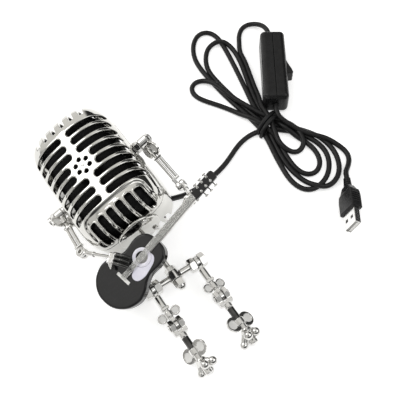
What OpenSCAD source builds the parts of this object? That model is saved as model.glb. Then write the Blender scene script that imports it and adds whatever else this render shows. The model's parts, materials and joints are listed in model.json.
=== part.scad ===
// Novelty table lamp: a microphone-bodied robot that lies on its back with a
// small guitar, fed by a USB lead with an inline rocker switch.
// Frame: millimetres, +Z up out of the table, +Y towards the dome, +X towards
// the robot's left hand. The origin is under the middle of the robot's box.

/* [Microphone body] */
// Width of the microphone across the grille
mic_w = 57; // [56:0.5:57.5]
// Depth of the microphone, front to back
mic_d = 56; // [55.5:0.5:56.5]
// Height of the dome above the middle of the grille
mic_top = 42; // [41:0.5:43]
// Depth of the body below the middle of the grille
mic_bot = 43.5; // [43:0.5:44]
// Wall of the cast shells
wall = 2; // [1.8:0.1:2.2]
// Roll of the body on the table, in degrees
roll = 23.5; // [23:0.5:24]
// Spacing of the grille slots
slot_pitch = 6.85; // [6.7:0.05:6.9]
// Height of one grille slot
slot_h = 3.9; // [3.5:0.1:4.1]

/* [Legs] */
// Distance of each leg from the middle of the hip bar
leg_x = 16.3; // [16:0.1:16.6]
// Diameter of the hip bar
bar_d = 4.6; // [4.4:0.1:4.6]
// Hip bar to knee pin
thigh_len = 26; // [25.5:0.5:26.5]
// Slope of the resting legs, in degrees
leg_tilt = 4; // [3:0.5:5]

/* [Arms] */
// Shoulder to elbow
arm_len = 35.8; // [35.6:0.1:36]
// Elbow to wrist
forearm_len = 20; // [19.5:0.5:20.5]

/* [Guitar] */
// Thickness of the guitar body
guitar_t = 8; // [7:0.5:8]
// Lower bout radius
bout_r = 16.4; // [16:0.1:16.6]

/* [Cord] */
// Diameter of the lead
cord_d = 3.6; // [3.4:0.1:3.6]

/* [Hidden] */
$fn = 48;

// middle of the robot's box on the table
o_x = -47.332;
o_y = -14.163;
// microphone centre
corner_r = 20;
mic_c = [-52.2, 31.9, (mic_w / 2 - corner_r) * sin(roll) + (mic_d / 2 - corner_r) * cos(roll) + corner_r];
dome_r = 22;
base_r = 13;
seam_n = 6;
// shoulders, in the microphone's own frame
sh_v = 1;
sh_left = 35.4;
sh_right = -34.4;
// hips
hip_x = -46.9;
hip_y = -41.2;
toe_d = 58;
toe_out = 5.26;
toe_r = 2.6;
foot_turn = 22;
hip_z = toe_d * sin(leg_tilt) + toe_out * cos(leg_tilt) + toe_r;
// hip bolt in the microphone's frame
bolt_a = (hip_x - mic_c[0]) * cos(roll) + (hip_z - mic_c[2]) * sin(roll);
bolt_n = -(hip_x - mic_c[0]) * sin(roll) + (hip_z - mic_c[2]) * cos(roll);
bolt_r = 2;
shin_len = 19;
// arm angles at rest
right_swing = -13;
left_swing = 30;
right_elbow = 38.4;
left_elbow = -73;
// guitar place in the microphone's frame
g_pos = [-6.6, -61.2, 7.8];
g_tilt = 8;
g_turn = 9.4;
// switch and plug places on the table
sw_c = [100.5, 53.8];
sw_turn = 56.3;
sw_l = 60;
sw_w = 17.4;
sw_h = 18;
plug_base = [71, -66.9, 10.6];
plug_turn = 35.5;
plug_rise = 9.5;
plug_roll = -65;
// cord routes, chosen on the table
lead_pts = [[-19.5, 4.4, 14.2], [-14, 4.6, 10.8], [-8, 5.4, 6.8], [-1.5, 6.6, 3.4],
  [6, 7.4, 2], [13, 8.4, 1.8], [20, 9.8, 1.8], [27, 11.6, 1.8], [34, 14.4, 1.8], [40, 17.6, 1.8],
  [46, 20.4, 1.8], [52.5, 22, 1.8], [58, 22.4, 1.9], [63.4, 21.6, 2.4]];
switch_in_pts = [[115.6, 79.8, 9], [118.6, 84.4, 8.8], [120.6, 90, 7.2], [120.8, 96, 5], [118.6, 101, 3],
  [114, 103.8, 2], [108.6, 103, 1.8], [103.4, 99, 1.8], [99, 93, 1.8], [95, 86.4, 1.8], [91.6, 79.8, 1.8], [88.6, 74, 1.8]];
switch_out_pts = [[83.8, 28.8, 9], [82.2, 26.4, 8.4], [80.6, 24, 7]];
plug_lead_pts = [[87.1, -44.4, 6], [88.4, -42.5, 5.6], [90, -40.2, 4.9]];

// ---------- frames ----------
module world() translate([-o_x, -o_y, 0]) children();
module in_mic() world() translate(mic_c) rotate([0, -roll, 0]) children();
module in_hips() world() translate([hip_x, hip_y, hip_z]) children();
module in_leg(s) in_hips() translate([s * leg_x, 0, 0]) rotate([leg_tilt, 0, 0]) children();
module in_arm(s) in_mic() translate([s > 0 ? sh_left : sh_right, sh_v, 0])
  rotate([s > 0 ? left_swing : right_swing, 0, 0]) children();
module in_forearm(s) in_arm(s) translate([0, -arm_len, 0])
  rotate(s > 0 ? [left_elbow, 0, 0] : [0, 0, right_elbow]) children();
module in_hand(s) in_forearm(s) translate(s > 0 ? [1.4, -forearm_len, 0] : [0, -forearm_len, 1.4])
  rotate([s > 0 ? 0 : 16, 0, 0]) children();
module in_guitar() in_mic() translate(g_pos) rotate([g_tilt, 0, 0]) rotate([0, 0, g_turn]) children();
module in_switch() world() translate([sw_c[0], sw_c[1], 0]) rotate([0, 0, sw_turn - 90]) children();
module in_plug() world() translate(plug_base) rotate([0, 0, -plug_turn]) rotate([-plug_rise, 0, 0])
  rotate([0, plug_roll, 0]) children();

// ---------- shapes ----------
module rod(p, q, r) {
  d = q - p;
  l = norm(d);
  translate(p) rotate([0, acos(d[2] / l), atan2(d[1], d[0])]) cylinder(h = l, r = r);
}
module along_x(x0, x1, r) translate([x0, 0, 0]) rotate([0, 90, 0]) cylinder(h = x1 - x0, r = r);
module along_y(y0, y1, r) translate([0, y0, 0]) rotate([-90, 0, 0]) cylinder(h = y1 - y0, r = r);
module hex_x(x0, x1, af) translate([x0, 0, 0]) rotate([0, 90, 0]) cylinder(h = x1 - x0, r = af / sqrt(3), $fn = 6);
module hex_y(y0, y1, af) translate([0, y0, 0]) rotate([-90, 0, 0]) cylinder(h = y1 - y0, r = af / sqrt(3), $fn = 6);
module box(lo, hi) translate(lo) cube(hi - lo);

module tall_profile(w, top, bot, rt, rb) {
  translate([-w / 2, -bot + rb]) square([w, top + bot - rt - rb]);
  translate([-w / 2 + rt, 0]) square([w - 2 * rt, top]);
  translate([-w / 2 + rb, -bot]) square([w - 2 * rb, bot]);
  for (s = [-1, 1]) {
    translate([s * (w / 2 - rt), top - rt]) circle(rt);
    translate([s * (w / 2 - rb), -bot + rb]) circle(rb);
  }
}
module round_square(w, h, r) {
  square([w, h - 2 * r], center = true);
  square([w - 2 * r, h], center = true);
  for (s = [-1, 1], t = [-1, 1]) translate([s * (w / 2 - r), t * (h / 2 - r)]) circle(r);
}
// the microphone's outer form, shrunk all round by i
module mic_form(i) intersection() {
  rotate([90, 0, 0]) translate([0, 0, -60]) linear_extrude(120) round_square(mic_w - 2 * i, mic_d - 2 * i, corner_r - i);
  rotate([90, 0, 90]) translate([0, 0, -40]) linear_extrude(80)
    rotate([0, 0, -90]) tall_profile(mic_d - 2 * i, mic_top - i, mic_bot - i, dome_r - i, base_r - i) ;
  translate([0, 0, -40]) linear_extrude(80) tall_profile(mic_w - 2 * i, mic_top - i, mic_bot - i, dome_r - i, base_r - i);
}
module slot_row(a0, a1, v) translate([0, 0, 8]) linear_extrude(30) {
  translate([a0 + slot_h / 2, v - slot_h / 2]) square([a1 - a0 - slot_h, slot_h]);
  translate([a0 + slot_h / 2, v]) circle(slot_h / 2);
  translate([a1 - slot_h / 2, v]) circle(slot_h / 2);
}
// slots of one half: rows each side of a centre strip, and upright slots on the dome and the base
module half_slots(ring) {
  for (k = [0:7], s = [0, 1]) mirror([s, 0, 0])
    slot_row(ring && (k == 3 || k == 4) ? 9 : 4.4, 25.4, (3.5 - k) * slot_pitch);
  for (k = [-2.5:2.5]) {
    translate([k * 7 - slot_h / 2, 31.5, 9]) cube([slot_h, 20, 30]);
    translate([k * 7, 31.5, 9]) cylinder(h = 30, d = slot_h);
    translate([k * 7 - slot_h / 2, -39.5, 9]) cube([slot_h, 8.6, 30]);
    translate([k * 7, -30.9, 9]) cylinder(h = 30, d = slot_h);
    translate([k * 7, -39.5, 9]) cylinder(h = 30, d = slot_h);
  }
  if (ring) {
    for (k = [0:5]) rotate([0, 0, 60 * k + 30]) translate([4.7, 0, 8]) cylinder(h = 30, d = 2.3);
    translate([0, 0, 8]) cylinder(h = 30, r = 1.1);
  }
}
// a wing nut on a rod along Y: hub, and two round dished ears turned about the rod
module wing_nut(y0, y1, bore, hub, ear_r, ear_c, turn) rotate([0, turn, 0]) difference() {
  dish_r = (ear_c + ear_r - 0.9 - hub) / 2;
  union() {
    along_y(y0, y1, hub);
    for (s = [-1, 1]) translate([s * ear_c, (y0 + y1) / 2, 0]) cylinder(h = 1.6, r = ear_r, center = true);
  }
  along_y(y0 - 8, y1 + 8, bore);
  for (s = [-1, 1], t = [-1, 1]) translate([s * (hub + dish_r), (y0 + y1) / 2, t * 0.75]) cylinder(h = 0.5, r = dish_r, center = true);
}
// a round tube swept along a list of points
function unit(v) = v / norm(v);
function tang(p, i) = unit(p[min(i + 1, len(p) - 1)] - p[max(i - 1, 0)]);
function side(t) = unit(cross(t, [0, 0, 1]));
function ring_pt(p, i, r, k, n) = let (t = tang(p, i), a = side(t), b = cross(a, t))
  p[i] + r * (cos(360 * k / n) * a + sin(360 * k / n) * b);
module tube(p, d) {
  n = 8;
  m = len(p);
  polyhedron(
    points = [for (i = [0:m - 1], k = [0:n - 1]) ring_pt(p, i, d / 2, k, n)],
    faces = concat(
      [[for (k = [0:n - 1]) k]],
      [[for (k = [n - 1:-1:0]) (m - 1) * n + k]],
      [for (i = [0:m - 2], k = [0:n - 1]) each [
        [i * n + k, (i + 1) * n + k, (i + 1) * n + (k + 1) % n],
        [i * n + k, (i + 1) * n + (k + 1) % n, i * n + (k + 1) % n]]]));
}

// ---------- microphone ----------
module front_grille() color("gainsboro") in_mic() {
  difference() {
    mic_form(0);
    mic_form(wall);
    translate([-50, -60, -50 + seam_n]) cube([100, 120, 50]);
    half_slots(true);
    for (s = [-1, 1]) translate([s * 8, -50, 10]) along_y(0, 20, 0.9);
  }
  // inner tabs that the shoulder studs clamp
  for (s = [-1, 1]) difference() {
    union() {
      box([s > 0 ? 24.4 : -26.3, -4, -4], [s > 0 ? 26.3 : -24.4, 6, 9]);
      box([s > 0 ? 26.2 : -27, -4, seam_n + 0.2], [s > 0 ? 27 : -26.2, 6, 9]);
    }
    translate([0, sh_v, 0]) along_x(s > 0 ? 20 : -30, s > 0 ? 30 : -20, 2.1);
  }
}
module rear_shell() color("gainsboro") in_mic() difference() {
  union() {
    difference() {
      mic_form(0);
      mic_form(wall);
      translate([-50, -60, seam_n]) cube([100, 120, 50]);
      mirror([0, 0, 1]) half_slots(false);
    }
    // boss for the hip bolt
    translate([bolt_a, 0, bolt_n]) along_y(-44.6, -37.2, 4);
  }
  translate([bolt_a, 0, bolt_n]) along_y(-60, -20, bolt_r);
  for (s = [-1, 1]) translate([s * 8, -50, -8]) along_y(0, 20, 0.9);
  translate([0, sh_v, 0]) for (s = [-1, 1]) along_x(s > 0 ? 20 : -32, s > 0 ? 32 : -20, 2.1);
  translate([20.5, -27.5, -24]) rotate([0, 143.13, 0]) translate([0, 0, -8]) cylinder(h = 16, r = 2.6);
}
module grille_liner() color("#141414") in_mic() difference() {
  mic_form(5.6);
  mic_form(6.8);
  translate([-50, -90, -50]) cube([100, 56, 100]);
}
module bottom_cap() color("silver") in_mic() difference() {
  along_y(-45.3, -43.6, 14.4);
  for (s = [-1, 1], n = [-8, 10]) translate([s * 8, 0, n]) along_y(-50, -40, 0.9);
}
module body_screws() color("silver") in_mic() {
  for (s = [-1, 1], n = [-8, 10]) translate([s * 8, 0, n]) {
    along_y(-45.3, -39.6, 0.9);
    along_y(-46.3, -45.3, 1.7);
  }
  translate([0, 0, 25.4]) cylinder(h = 3, r = 1.1);
}
module lamp_base() color("white") in_mic() {
  along_y(-36.2, -34.2, 23.4);
  along_y(-41.4, -36.2, 6);
}
module led_board() color("seagreen") in_mic() along_y(-34.1, -32.5, 14);
module led_lamp() color("lightyellow") in_mic() {
  along_y(-32.4, -24, 5);
  translate([0, -20, 0]) sphere(7);
}
module shoulder_studs() color("silver") in_mic() translate([0, sh_v, 0]) {
  along_x(23.1, 24.35, 3.2);
  along_x(24.35, sh_left + 4, 2);
  hex_x(28.6, 31.9, 6.8);
  along_x(31.9, 32.2, 2.6);
  along_x(-24.35, -23.1, 3.2);
  along_x(sh_right - 7.6, -24.35, 2);
  along_x(sh_right + 3, -28.6, 3.4);
}
module shoulder_caps() color("silver") in_mic() translate([0, sh_v, 0]) {
  difference() {
    union() {
      hex_x(sh_left + 3.2, sh_left + 4.4, 6);
      translate([sh_left + 4.3, 0, 0]) rotate([0, 90, 0]) cylinder(h = 1.2, r1 = 2.7, r2 = 1.4);
    }
    along_x(sh_left, sh_left + 4, 2);
  }
  difference() {
    union() {
      hex_x(sh_right - 5.5, sh_right - 2.9, 6.8);
      along_x(sh_right - 6, sh_right - 5.4, 2.6);
      along_x(sh_right - 8.4, sh_right - 5.9, 3.3);
    }
    along_x(sh_right - 7.6, sh_right, 2);
  }
}
module cord_gland() color("#1c1c1c") in_mic() translate([20.5, -27.5, -24]) rotate([0, 143.13, 0]) {
  translate([0, 0, -4]) cylinder(h = 5, r = 2.6);
  translate([0, 0, 1]) cylinder(h = 4, r1 = 2.6, r2 = 2.1);
}

// ---------- hips and legs ----------
module hip_bolt() color("silver") in_hips() {
  along_y(-6.4, 35.9, bolt_r);
  along_y(35.9, 36.7, 3.2);
}
module hip_lock_nut() color("silver") in_hips() difference() {
  hex_y(3.1, 6.3, 7);
  along_y(2, 8, bolt_r);
}
module acorn_nut() color("silver") in_hips() difference() {
  union() {
    hex_y(-7.4, -3.1, 6.4);
    intersection() { translate([0, -7.2, 0]) sphere(2.9); along_y(-12, -7.4, 4); }
  }
  along_y(-6.6, 0, bolt_r);
}
module hip_bar() color("silver") in_hips() difference() {
  union() { along_x(-22.2, 22.2, bar_d / 2); along_y(-2.9, 2.9, 4); }
  along_y(-9, 9, bolt_r + 0.04);
}
module hip_nuts() color("silver") in_hips() for (s = [-1, 1], e = [-3.6, 3.6])
  translate([s * leg_x + e, 0, 0]) difference() { hex_x(-2.1, 2.1, 8.2); along_x(-9, 9, bar_d / 2); }
module thigh(s) color("silver") in_leg(s) difference() {
  union() {
    along_x(-1.3, 1.3, 4.3);
    box([-1.2, -5.6, -2.2], [1.2, -3.4, 2.2]);
    along_y(-13.4, -5.1, 2.3);
    along_y(-21.3, -5.2, 1.8);
    box([-2.6, -15.1, -2.4], [2.6, -13.2, 2.4]);
    box([-1.2, -thigh_len, -2.2], [1.2, -20.8, 2.2]);
    translate([0, -thigh_len, 0]) along_x(-1.2, 1.2, 3.2);
  }
  along_x(-5, 5, bar_d / 2 + 0.04);
  translate([0, -thigh_len, 0]) along_x(-5, 5, 1.54);
}
module left_thigh() thigh(1);
module right_thigh() thigh(-1);
module left_knee_wing_nut() color("silver") in_leg(1) wing_nut(-20, -16.6, 1.8, 2.7, 3.1, 4.8, 20);
module right_knee_wing_nut() color("silver") in_leg(-1) wing_nut(-20, -16.6, 1.8, 2.7, 3.1, 4.8, -20);
module shin(s) color("silver") in_leg(s) translate([0, -thigh_len, 0]) difference() {
  union() {
    for (e = [-4.4, 1.4]) {
      hex_x(e, e + 3, 7.8);
      box([e, -5.4, -2.4], [e + 3, 0, 2.4]);
    }
    box([-4.4, -6.4, -2.4], [4.4, -4.2, 2.4]);
    along_y(-9, -6.4, 2.7);
    along_y(-27.6, -6.4, 2.2);
  }
  along_x(-9, 9, 1.5);
}
module left_shin() shin(1);
module right_shin() shin(-1);
module knee_pin(s) color("silver") in_leg(s) translate([0, -thigh_len, 0]) {
  along_x(-5.2, 5.2, 1.5);
  for (e = [-5.2, 4.45]) along_x(e, e + 0.75, 2.3);
}
module left_knee_pin() knee_pin(1);
module right_knee_pin() knee_pin(-1);
module left_ankle_wing_nut() color("silver") in_leg(1) translate([0, -thigh_len, 0]) wing_nut(-21.4, -17.4, 2.2, 3.2, 4.9, 4.8, 22);
module right_ankle_wing_nut() color("silver") in_leg(-1) translate([0, -thigh_len, 0]) wing_nut(-21.4, -17.4, 2.2, 3.2, 4.9, 4.8, -48);
// hub, heel, two ball toes on top and two long toes below, turned in a little
module foot(s) color("silver") in_leg(s) rotate([0, foot_turn, 0]) difference() {
  low_z = -(toe_out - (3.2 - s) * sin(foot_turn)) / cos(foot_turn);
  union() {
    along_y(-55, -50.6, 3.5);
    along_y(-61, -55, 2.5);
    for (e = [-1, 1]) {
      rod([e * 1.2, -53, 1], [e * 3 - s, -55.9, 4.2], 2.4);
      translate([e * 3 - s, -55.9, 4.2]) sphere(2.8);
      rod([e * 1.2, -53, -1], [e * 3.2 - s, -toe_d, low_z], 2.3);
      translate([e * 3.2 - s, -toe_d, low_z]) sphere(toe_r);
    }
  }
  along_y(-54.2, -40, 2.24);
}
module left_foot() foot(1);
module right_foot() foot(-1);

// ---------- arms ----------
module upper_arm(s) color("silver") in_arm(s) difference() {
  union() {
    along_x(s > 0 ? -3 : -2.6, s > 0 ? 3 : 2.6, 3.6);
    along_y(-12.6, -3, 1.7);
    box([-2.8, -14, -1.5], [2.8, -12.3, 1.5]);
    for (e = [-1.3, 1.3]) translate([e, 0, 0]) along_y(-30.6, -13.2, 1.1);
    box([-2.8, -31, -1.5], [2.8, -29.4, 1.5]);
    if (s > 0) {
      box([-2.6, -arm_len, -1.8], [-0.2, -29.4, 1.8]);
      translate([0, -arm_len, 0]) along_x(-2.6, -0.2, 3.2);
    } else {
      box([-1.8, -arm_len, -2.6], [1.8, -29.4, -0.2]);
      translate([0, -arm_len, -2.6]) cylinder(h = 2.4, r = 3.2);
    }
  }
  along_x(-9, 9, 2.04);
  translate([0, -arm_len, 0]) { if (s > 0) along_x(-9, 9, 1.7); else translate([0, 0, -9]) cylinder(h = 18, r = 1.7); }
}
module left_upper_arm() upper_arm(1);
module right_upper_arm() upper_arm(-1);
module left_arm_wing_nut() color("silver") in_arm(1) wing_nut(-9, -5, 1.7, 2.8, 4.6, 5.4, -60);
module right_arm_wing_nut() color("silver") in_arm(-1) wing_nut(-9.2, -5.2, 1.7, 2.6, 4.2, 4.8, 58);
module rivet_shape() difference() {
  union() { cylinder(h = 5.4, r = 1.7, center = true); translate([0, 0, -3.4]) cylinder(h = 0.7, r = 2.4); translate([0, 0, 2.7]) cylinder(h = 0.5, r = 2.3); }
  translate([0, 0, 0.6]) cylinder(h = 4, r = 1.1);
}
module left_elbow_rivet() color("silver") in_arm(1) translate([0, -arm_len, 0]) rotate([0, 90, 0]) rivet_shape();
module right_elbow_rivet() color("silver") in_arm(-1) translate([0, -arm_len, 0]) rivet_shape();
module forearm_shape() difference() {
  union() {
    translate([0, 0, 0.2]) cylinder(h = 2.4, r = 3.2);
    translate([0, 0, 1.4]) {
      along_y(-9, -2.4, 1.05);
      along_y(-9.4, -4.4, 1.5);
      along_y(-10.4, -9, 1.7);
      along_y(-22, -10, 1.15);
    }
  }
  translate([0, 0, -9]) cylinder(h = 18, r = 1.76);
}
module left_forearm() color("silver") in_forearm(1) rotate([0, 90, 0]) forearm_shape();
module right_forearm() color("silver") in_forearm(-1) forearm_shape();
// palm, three fingers that curl by angle c, and a thumb
module hand_shape(c) difference() {
  union() {
    box([-3.9, -4.4, -1.4], [3, -0.8, 1.4]);
    for (e = [-2.7, 0, 2.7]) translate([e, 0, 0]) {
      along_y(-8.6, -4, 1.2);
      translate([0, -8.6, 0]) sphere(1.2);
      translate([0, -8.6, 0]) rotate([c, 0, 0]) { along_y(-4.6, 0, 1.15); translate([0, -4.6, 0]) sphere(1.15); }
    }
    rod([-3, -2.4, 0], [-5.6, -4.6, -0.6], 1.1);
    translate([-5.6, -4.6, -0.6]) sphere(1.1);
  }
  along_y(-2, 4, 1.15);
}
module left_hand() color("silver") in_hand(1) hand_shape(12);
module right_hand() color("silver") in_hand(-1) hand_shape(22);

// ---------- guitar ----------
// a smooth line through a list of 2D points
function spline(p, i, t) = let (a = p[max(i - 1, 0)], b = p[i], c = p[i + 1], d = p[min(i + 2, len(p) - 1)])
  b + 0.5 * t * ((c - a) + t * ((2 * a - 5 * b + 4 * c - d) + t * (3 * (b - c) + d - a)));
function smooth(p, n) = concat([for (i = [0:len(p) - 2], k = [0:n - 1]) spline(p, i, k / n)], [p[len(p) - 1]]);
function flip(p) = [for (i = [len(p) - 2:-1:1]) [p[i][0], -p[i][1]]];
half_line = [[-34.6, 0], [-34, 4.9], [-31.4, 10], [-26.6, 14.3], [-19.8, bout_r], [-13.2, 15], [-8.4, 12.2], [-4.6, 10.8],
  [-0.6, 10.9], [3.6, 11.3], [8, 10.6], [11.4, 8.4], [13.2, 5], [13.7, 0]];
module guitar_outline() polygon(let (h = smooth(half_line, 4)) concat(h, flip(h)));
module guitar_body() color("#1a1a1a") in_guitar() difference() {
  translate([0, 0, -guitar_t]) linear_extrude(guitar_t) guitar_outline();
  translate([0, 0, -4]) cylinder(h = 8, r = 3.7);
}
module guitar_neck() color("silver") in_guitar() box([14, -2.5, -3], [46, 2.5, 0]);
module fretboard() color("gainsboro") in_guitar() box([6, -2.3, 0], [46.4, 2.3, 0.9]);
module headstock() color("#1a1a1a") in_guitar() difference() {
  translate([0, 0, -2.6]) linear_extrude(2.6) polygon([[46, -2.5], [48, -2.8], [63.6, -3], [64.8, -2.2], [64.8, 2.2], [63.6, 3], [48, 2.8], [46, 2.5]]);
  for (x = [52, 56, 60], s = [-1, 1]) translate([x, s * 1.7, -5]) cylinder(h = 9, r = 0.5);
}
module tuning_pegs() color("silver") in_guitar() for (x = [52, 56, 60], s = [-1, 1]) {
  translate([x, s * 1.7, -4.2]) cylinder(h = 5.8, r = 0.5);
  translate([x, 0, -3.6]) along_y(min(s * 1.3, s * 5.4), max(s * 1.3, s * 5.4), 0.4);
  translate([x, s * 5, -3.6]) along_y(-0.6, 0.6, 1.2);
}
module guitar_bridge() color("ivory") in_guitar() box([-17.4, -5, 0], [-15.4, 5, 1]);
module guitar_strings() color("silver") in_guitar() for (k = [-2.5:2.5])
  rod([-16.6, k * 0.62, 1.25], [47, k * 0.62, 1.15], 0.2);
module pickguard() color("lavender") in_guitar() difference() {
  linear_extrude(0.4) polygon([[-11.6, -2.6], [-12.6, -6.4], [-7, -9.2], [2, -8], [5.4, -5.2], [5, -1], [-4, -1]]);
  translate([0, 0, -1]) cylinder(h = 3, r = 5.9);
}
module rosette() color("white") in_guitar() difference() { cylinder(h = 0.3, r = 5.8); translate([0, 0, -1]) cylinder(h = 3, r = 3.7); }

// ---------- cord, switch and plug ----------
module cord_lead() color("#161616") world() tube(lead_pts, cord_d);
upper_line = [[74.6, 30.1], [78.5, 44], [83.5, 62], [88.5, 79], [93.2, 96], [93, 106], [88, 115.5], [80, 119.6], [72, 118.4],
  [64.5, 111.5], [60, 101], [59.2, 88], [59.4, 75], [56.6, 74.6], [53, 78], [48, 79], [45.4, 74], [48.5, 64.6], [55, 53],
  [61.5, 43], [65.8, 27.6]];
lower_line = [[80, 19], [85.8, 8], [91.4, -3], [96.6, -12], [101.6, -18], [104.6, -25], [102.4, -32], [96.8, -35], [91.6, -37.4],
  [84, -41.6], [76, -43], [68, -40.6], [61, -34.6], [57.2, -25], [57.6, -14], [60.4, -2], [63.6, 8], [66, 15]];
module cord_hank_upper() color("#161616") world() linear_extrude(7.4) polygon(smooth(upper_line, 3));
module cord_hank_lower() color("#161616") world() linear_extrude(7.4) polygon(smooth(lower_line, 3));
module cord_tie() color("#101010") world() linear_extrude(9)
  polygon([[66, 15.1], [80, 19.1], [81, 24.2], [74.6, 30], [65.8, 27.5], [63.4, 21.6]]);
module cord_switch_in() color("#161616") world() tube(switch_in_pts, cord_d);
module cord_switch_out() color("#161616") world() tube(switch_out_pts, cord_d);
module cord_plug_lead() color("#161616") world() tube(plug_lead_pts, cord_d);
module switch_form(i) translate([0, 0, sw_h / 2]) rotate([90, 0, 0]) translate([0, 0, -sw_l / 2 + i])
  linear_extrude(sw_l - 2 * i) round_square(sw_w - 2 * i, sw_h - 2 * i, 3.4 - i);
module switch_base() color("#1b1b1b") in_switch() difference() {
  switch_form(0);
  switch_form(1.6);
  box([0, -40, -1], [20, 40, 30]);
}
module switch_cover() color("#1b1b1b") in_switch() difference() {
  switch_form(0);
  switch_form(1.6);
  box([-20, -40, -1], [0, 40, 30]);
  box([4, -7.6, 4], [12, 19.6, 14]);
}
module switch_rocker() color("#202020") in_switch() translate([6.4, 6, 9]) rotate([0, 0, 10]) difference() {
  union() {
    translate([0, 0, -4.6]) linear_extrude(9.2) polygon([[-1.6, -12], [3.6, -12.8], [4.6, -12.4], [4.9, -11.4], [4.6, -9], [2.4, 0], [4, 12], [3.4, 12.6], [-1.6, 12]]);
    cylinder(h = 9.2, r = 2.4, center = true);
  }
  cylinder(h = 12, r = 1.2, center = true);
}
module plug_housing() color("#1b1b1b") in_plug() difference() {
  union() {
    translate([0, 15, 0]) rotate([90, 0, 0]) linear_extrude(15) round_square(15.6, 8, 1.6);
    translate([0, 20, 0]) rotate([90, 0, 0]) linear_extrude(5) round_square(11, 6.4, 1.6);
    rod([0, 20, 0], [0, 28, 0], 2.9);
  }
  box([-6, -1, -2.25], [6, 10, 2.25]);
}
module plug_shell() color("silver") in_plug() difference() {
  box([-6, -12, -2.25], [6, 6, 2.25]);
  box([-5.7, -13, -1.95], [5.7, 5, 1.95]);
  for (s = [-1, 1]) box([s * 2.8 - 1.2, -7.6, 0], [s * 2.8 + 1.2, -5.2, 4]);
}
module plug_tongue() color("white") in_plug() box([-5.6, -11.4, -1.9], [5.6, 4.9, -0.3]);

front_grille();
rear_shell();
grille_liner();
bottom_cap();
body_screws();
lamp_base();
led_board();
led_lamp();
shoulder_studs();
shoulder_caps();
cord_gland();
hip_bolt();
hip_lock_nut();
acorn_nut();
hip_bar();
hip_nuts();
left_thigh();
right_thigh();
left_knee_wing_nut();
right_knee_wing_nut();
left_shin();
right_shin();
left_knee_pin();
right_knee_pin();
left_ankle_wing_nut();
right_ankle_wing_nut();
left_foot();
right_foot();
left_upper_arm();
right_upper_arm();
left_arm_wing_nut();
right_arm_wing_nut();
left_elbow_rivet();
right_elbow_rivet();
left_forearm();
right_forearm();
left_hand();
right_hand();
guitar_body();
guitar_neck();
fretboard();
headstock();
tuning_pegs();
guitar_bridge();
guitar_strings();
pickguard();
rosette();
cord_lead();
cord_hank_upper();
cord_hank_lower();
cord_tie();
cord_switch_in();
cord_switch_out();
cord_plug_lead();
switch_base();
switch_cover();
switch_rocker();
plug_housing();
plug_shell();
plug_tongue();
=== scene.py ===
import json
import math

import bpy
import numpy as np
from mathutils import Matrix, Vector


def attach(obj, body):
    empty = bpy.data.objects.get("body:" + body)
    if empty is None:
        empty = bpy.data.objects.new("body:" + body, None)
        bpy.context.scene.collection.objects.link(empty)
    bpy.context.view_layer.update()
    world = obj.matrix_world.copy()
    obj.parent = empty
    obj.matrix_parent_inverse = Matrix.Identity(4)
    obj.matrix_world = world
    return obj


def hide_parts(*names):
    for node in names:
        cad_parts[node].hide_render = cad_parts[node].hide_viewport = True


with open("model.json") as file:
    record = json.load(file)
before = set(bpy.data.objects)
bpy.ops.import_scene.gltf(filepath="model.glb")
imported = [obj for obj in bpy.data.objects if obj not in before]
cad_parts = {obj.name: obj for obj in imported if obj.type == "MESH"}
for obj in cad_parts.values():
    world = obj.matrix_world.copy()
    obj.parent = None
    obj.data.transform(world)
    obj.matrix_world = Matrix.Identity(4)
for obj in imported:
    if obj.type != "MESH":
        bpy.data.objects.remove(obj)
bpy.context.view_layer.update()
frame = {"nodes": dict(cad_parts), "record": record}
scene = bpy.context.scene
NODES = frame["nodes"]
BODY_OF = {n: b for b, ns in frame["record"]["behaviour"]["bodies"].items() for n in ns}

# ---------- frames: millimetres, the row frame ----------
OX, OY = -47.332, -14.163


def tr(x, y, z):
    m = np.eye(4)
    m[:3, 3] = (x, y, z)
    return m


def rot(axis, deg):
    c, s = math.cos(math.radians(deg)), math.sin(math.radians(deg))
    m = np.eye(4)
    i, j = {"x": (1, 2), "y": (2, 0), "z": (0, 1)}[axis]
    m[i, i] = m[j, j] = c
    m[i, j], m[j, i] = -s, s
    return m


WORLD = tr(-OX, -OY, 0)
ROLL = 23.5
SR, CR = math.sin(math.radians(ROLL)), math.cos(math.radians(ROLL))
MIC = WORLD @ tr(-52.2, 31.9, 8.5 * SR + 8 * CR + 20) @ rot("y", -ROLL)
S4, C4 = math.sin(math.radians(4)), math.cos(math.radians(4))
HIPS = WORLD @ tr(-46.9, -41.2, 58 * S4 + 5.26 * C4 + 2.6)
LEG = {s: HIPS @ tr(s * 16.3, 0, 0) @ rot("x", 4) for s in (1, -1)}
SHIN = {s: LEG[s] @ tr(0, -26, 0) for s in (1, -1)}
ARM = {1: MIC @ tr(35.4, 1, 0) @ rot("x", 30), -1: MIC @ tr(-34.4, 1, 0) @ rot("x", -13)}
FORE = {1: ARM[1] @ tr(0, -35.8, 0) @ rot("x", -73), -1: ARM[-1] @ tr(0, -35.8, 0) @ rot("z", 38.4)}
HAND = {1: FORE[1] @ tr(1.4, -20, 0), -1: FORE[-1] @ tr(0, -20, 1.4) @ rot("x", 16)}
GUITAR = MIC @ tr(-6.6, -61.2, 7.8) @ rot("x", 8) @ rot("z", 9.4)
SWITCH = WORLD @ tr(100.5, 53.8, 0) @ rot("z", 56.3 - 90)
PLUG = WORLD @ tr(71, -66.9, 10.6) @ rot("z", -35.5) @ rot("x", -9.5) @ rot("y", -65)


def to_row(points, m=WORLD):
    p = np.asarray(points, float)
    return (p @ m[:3, :3].T + m[:3, 3]) * 0.001


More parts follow.
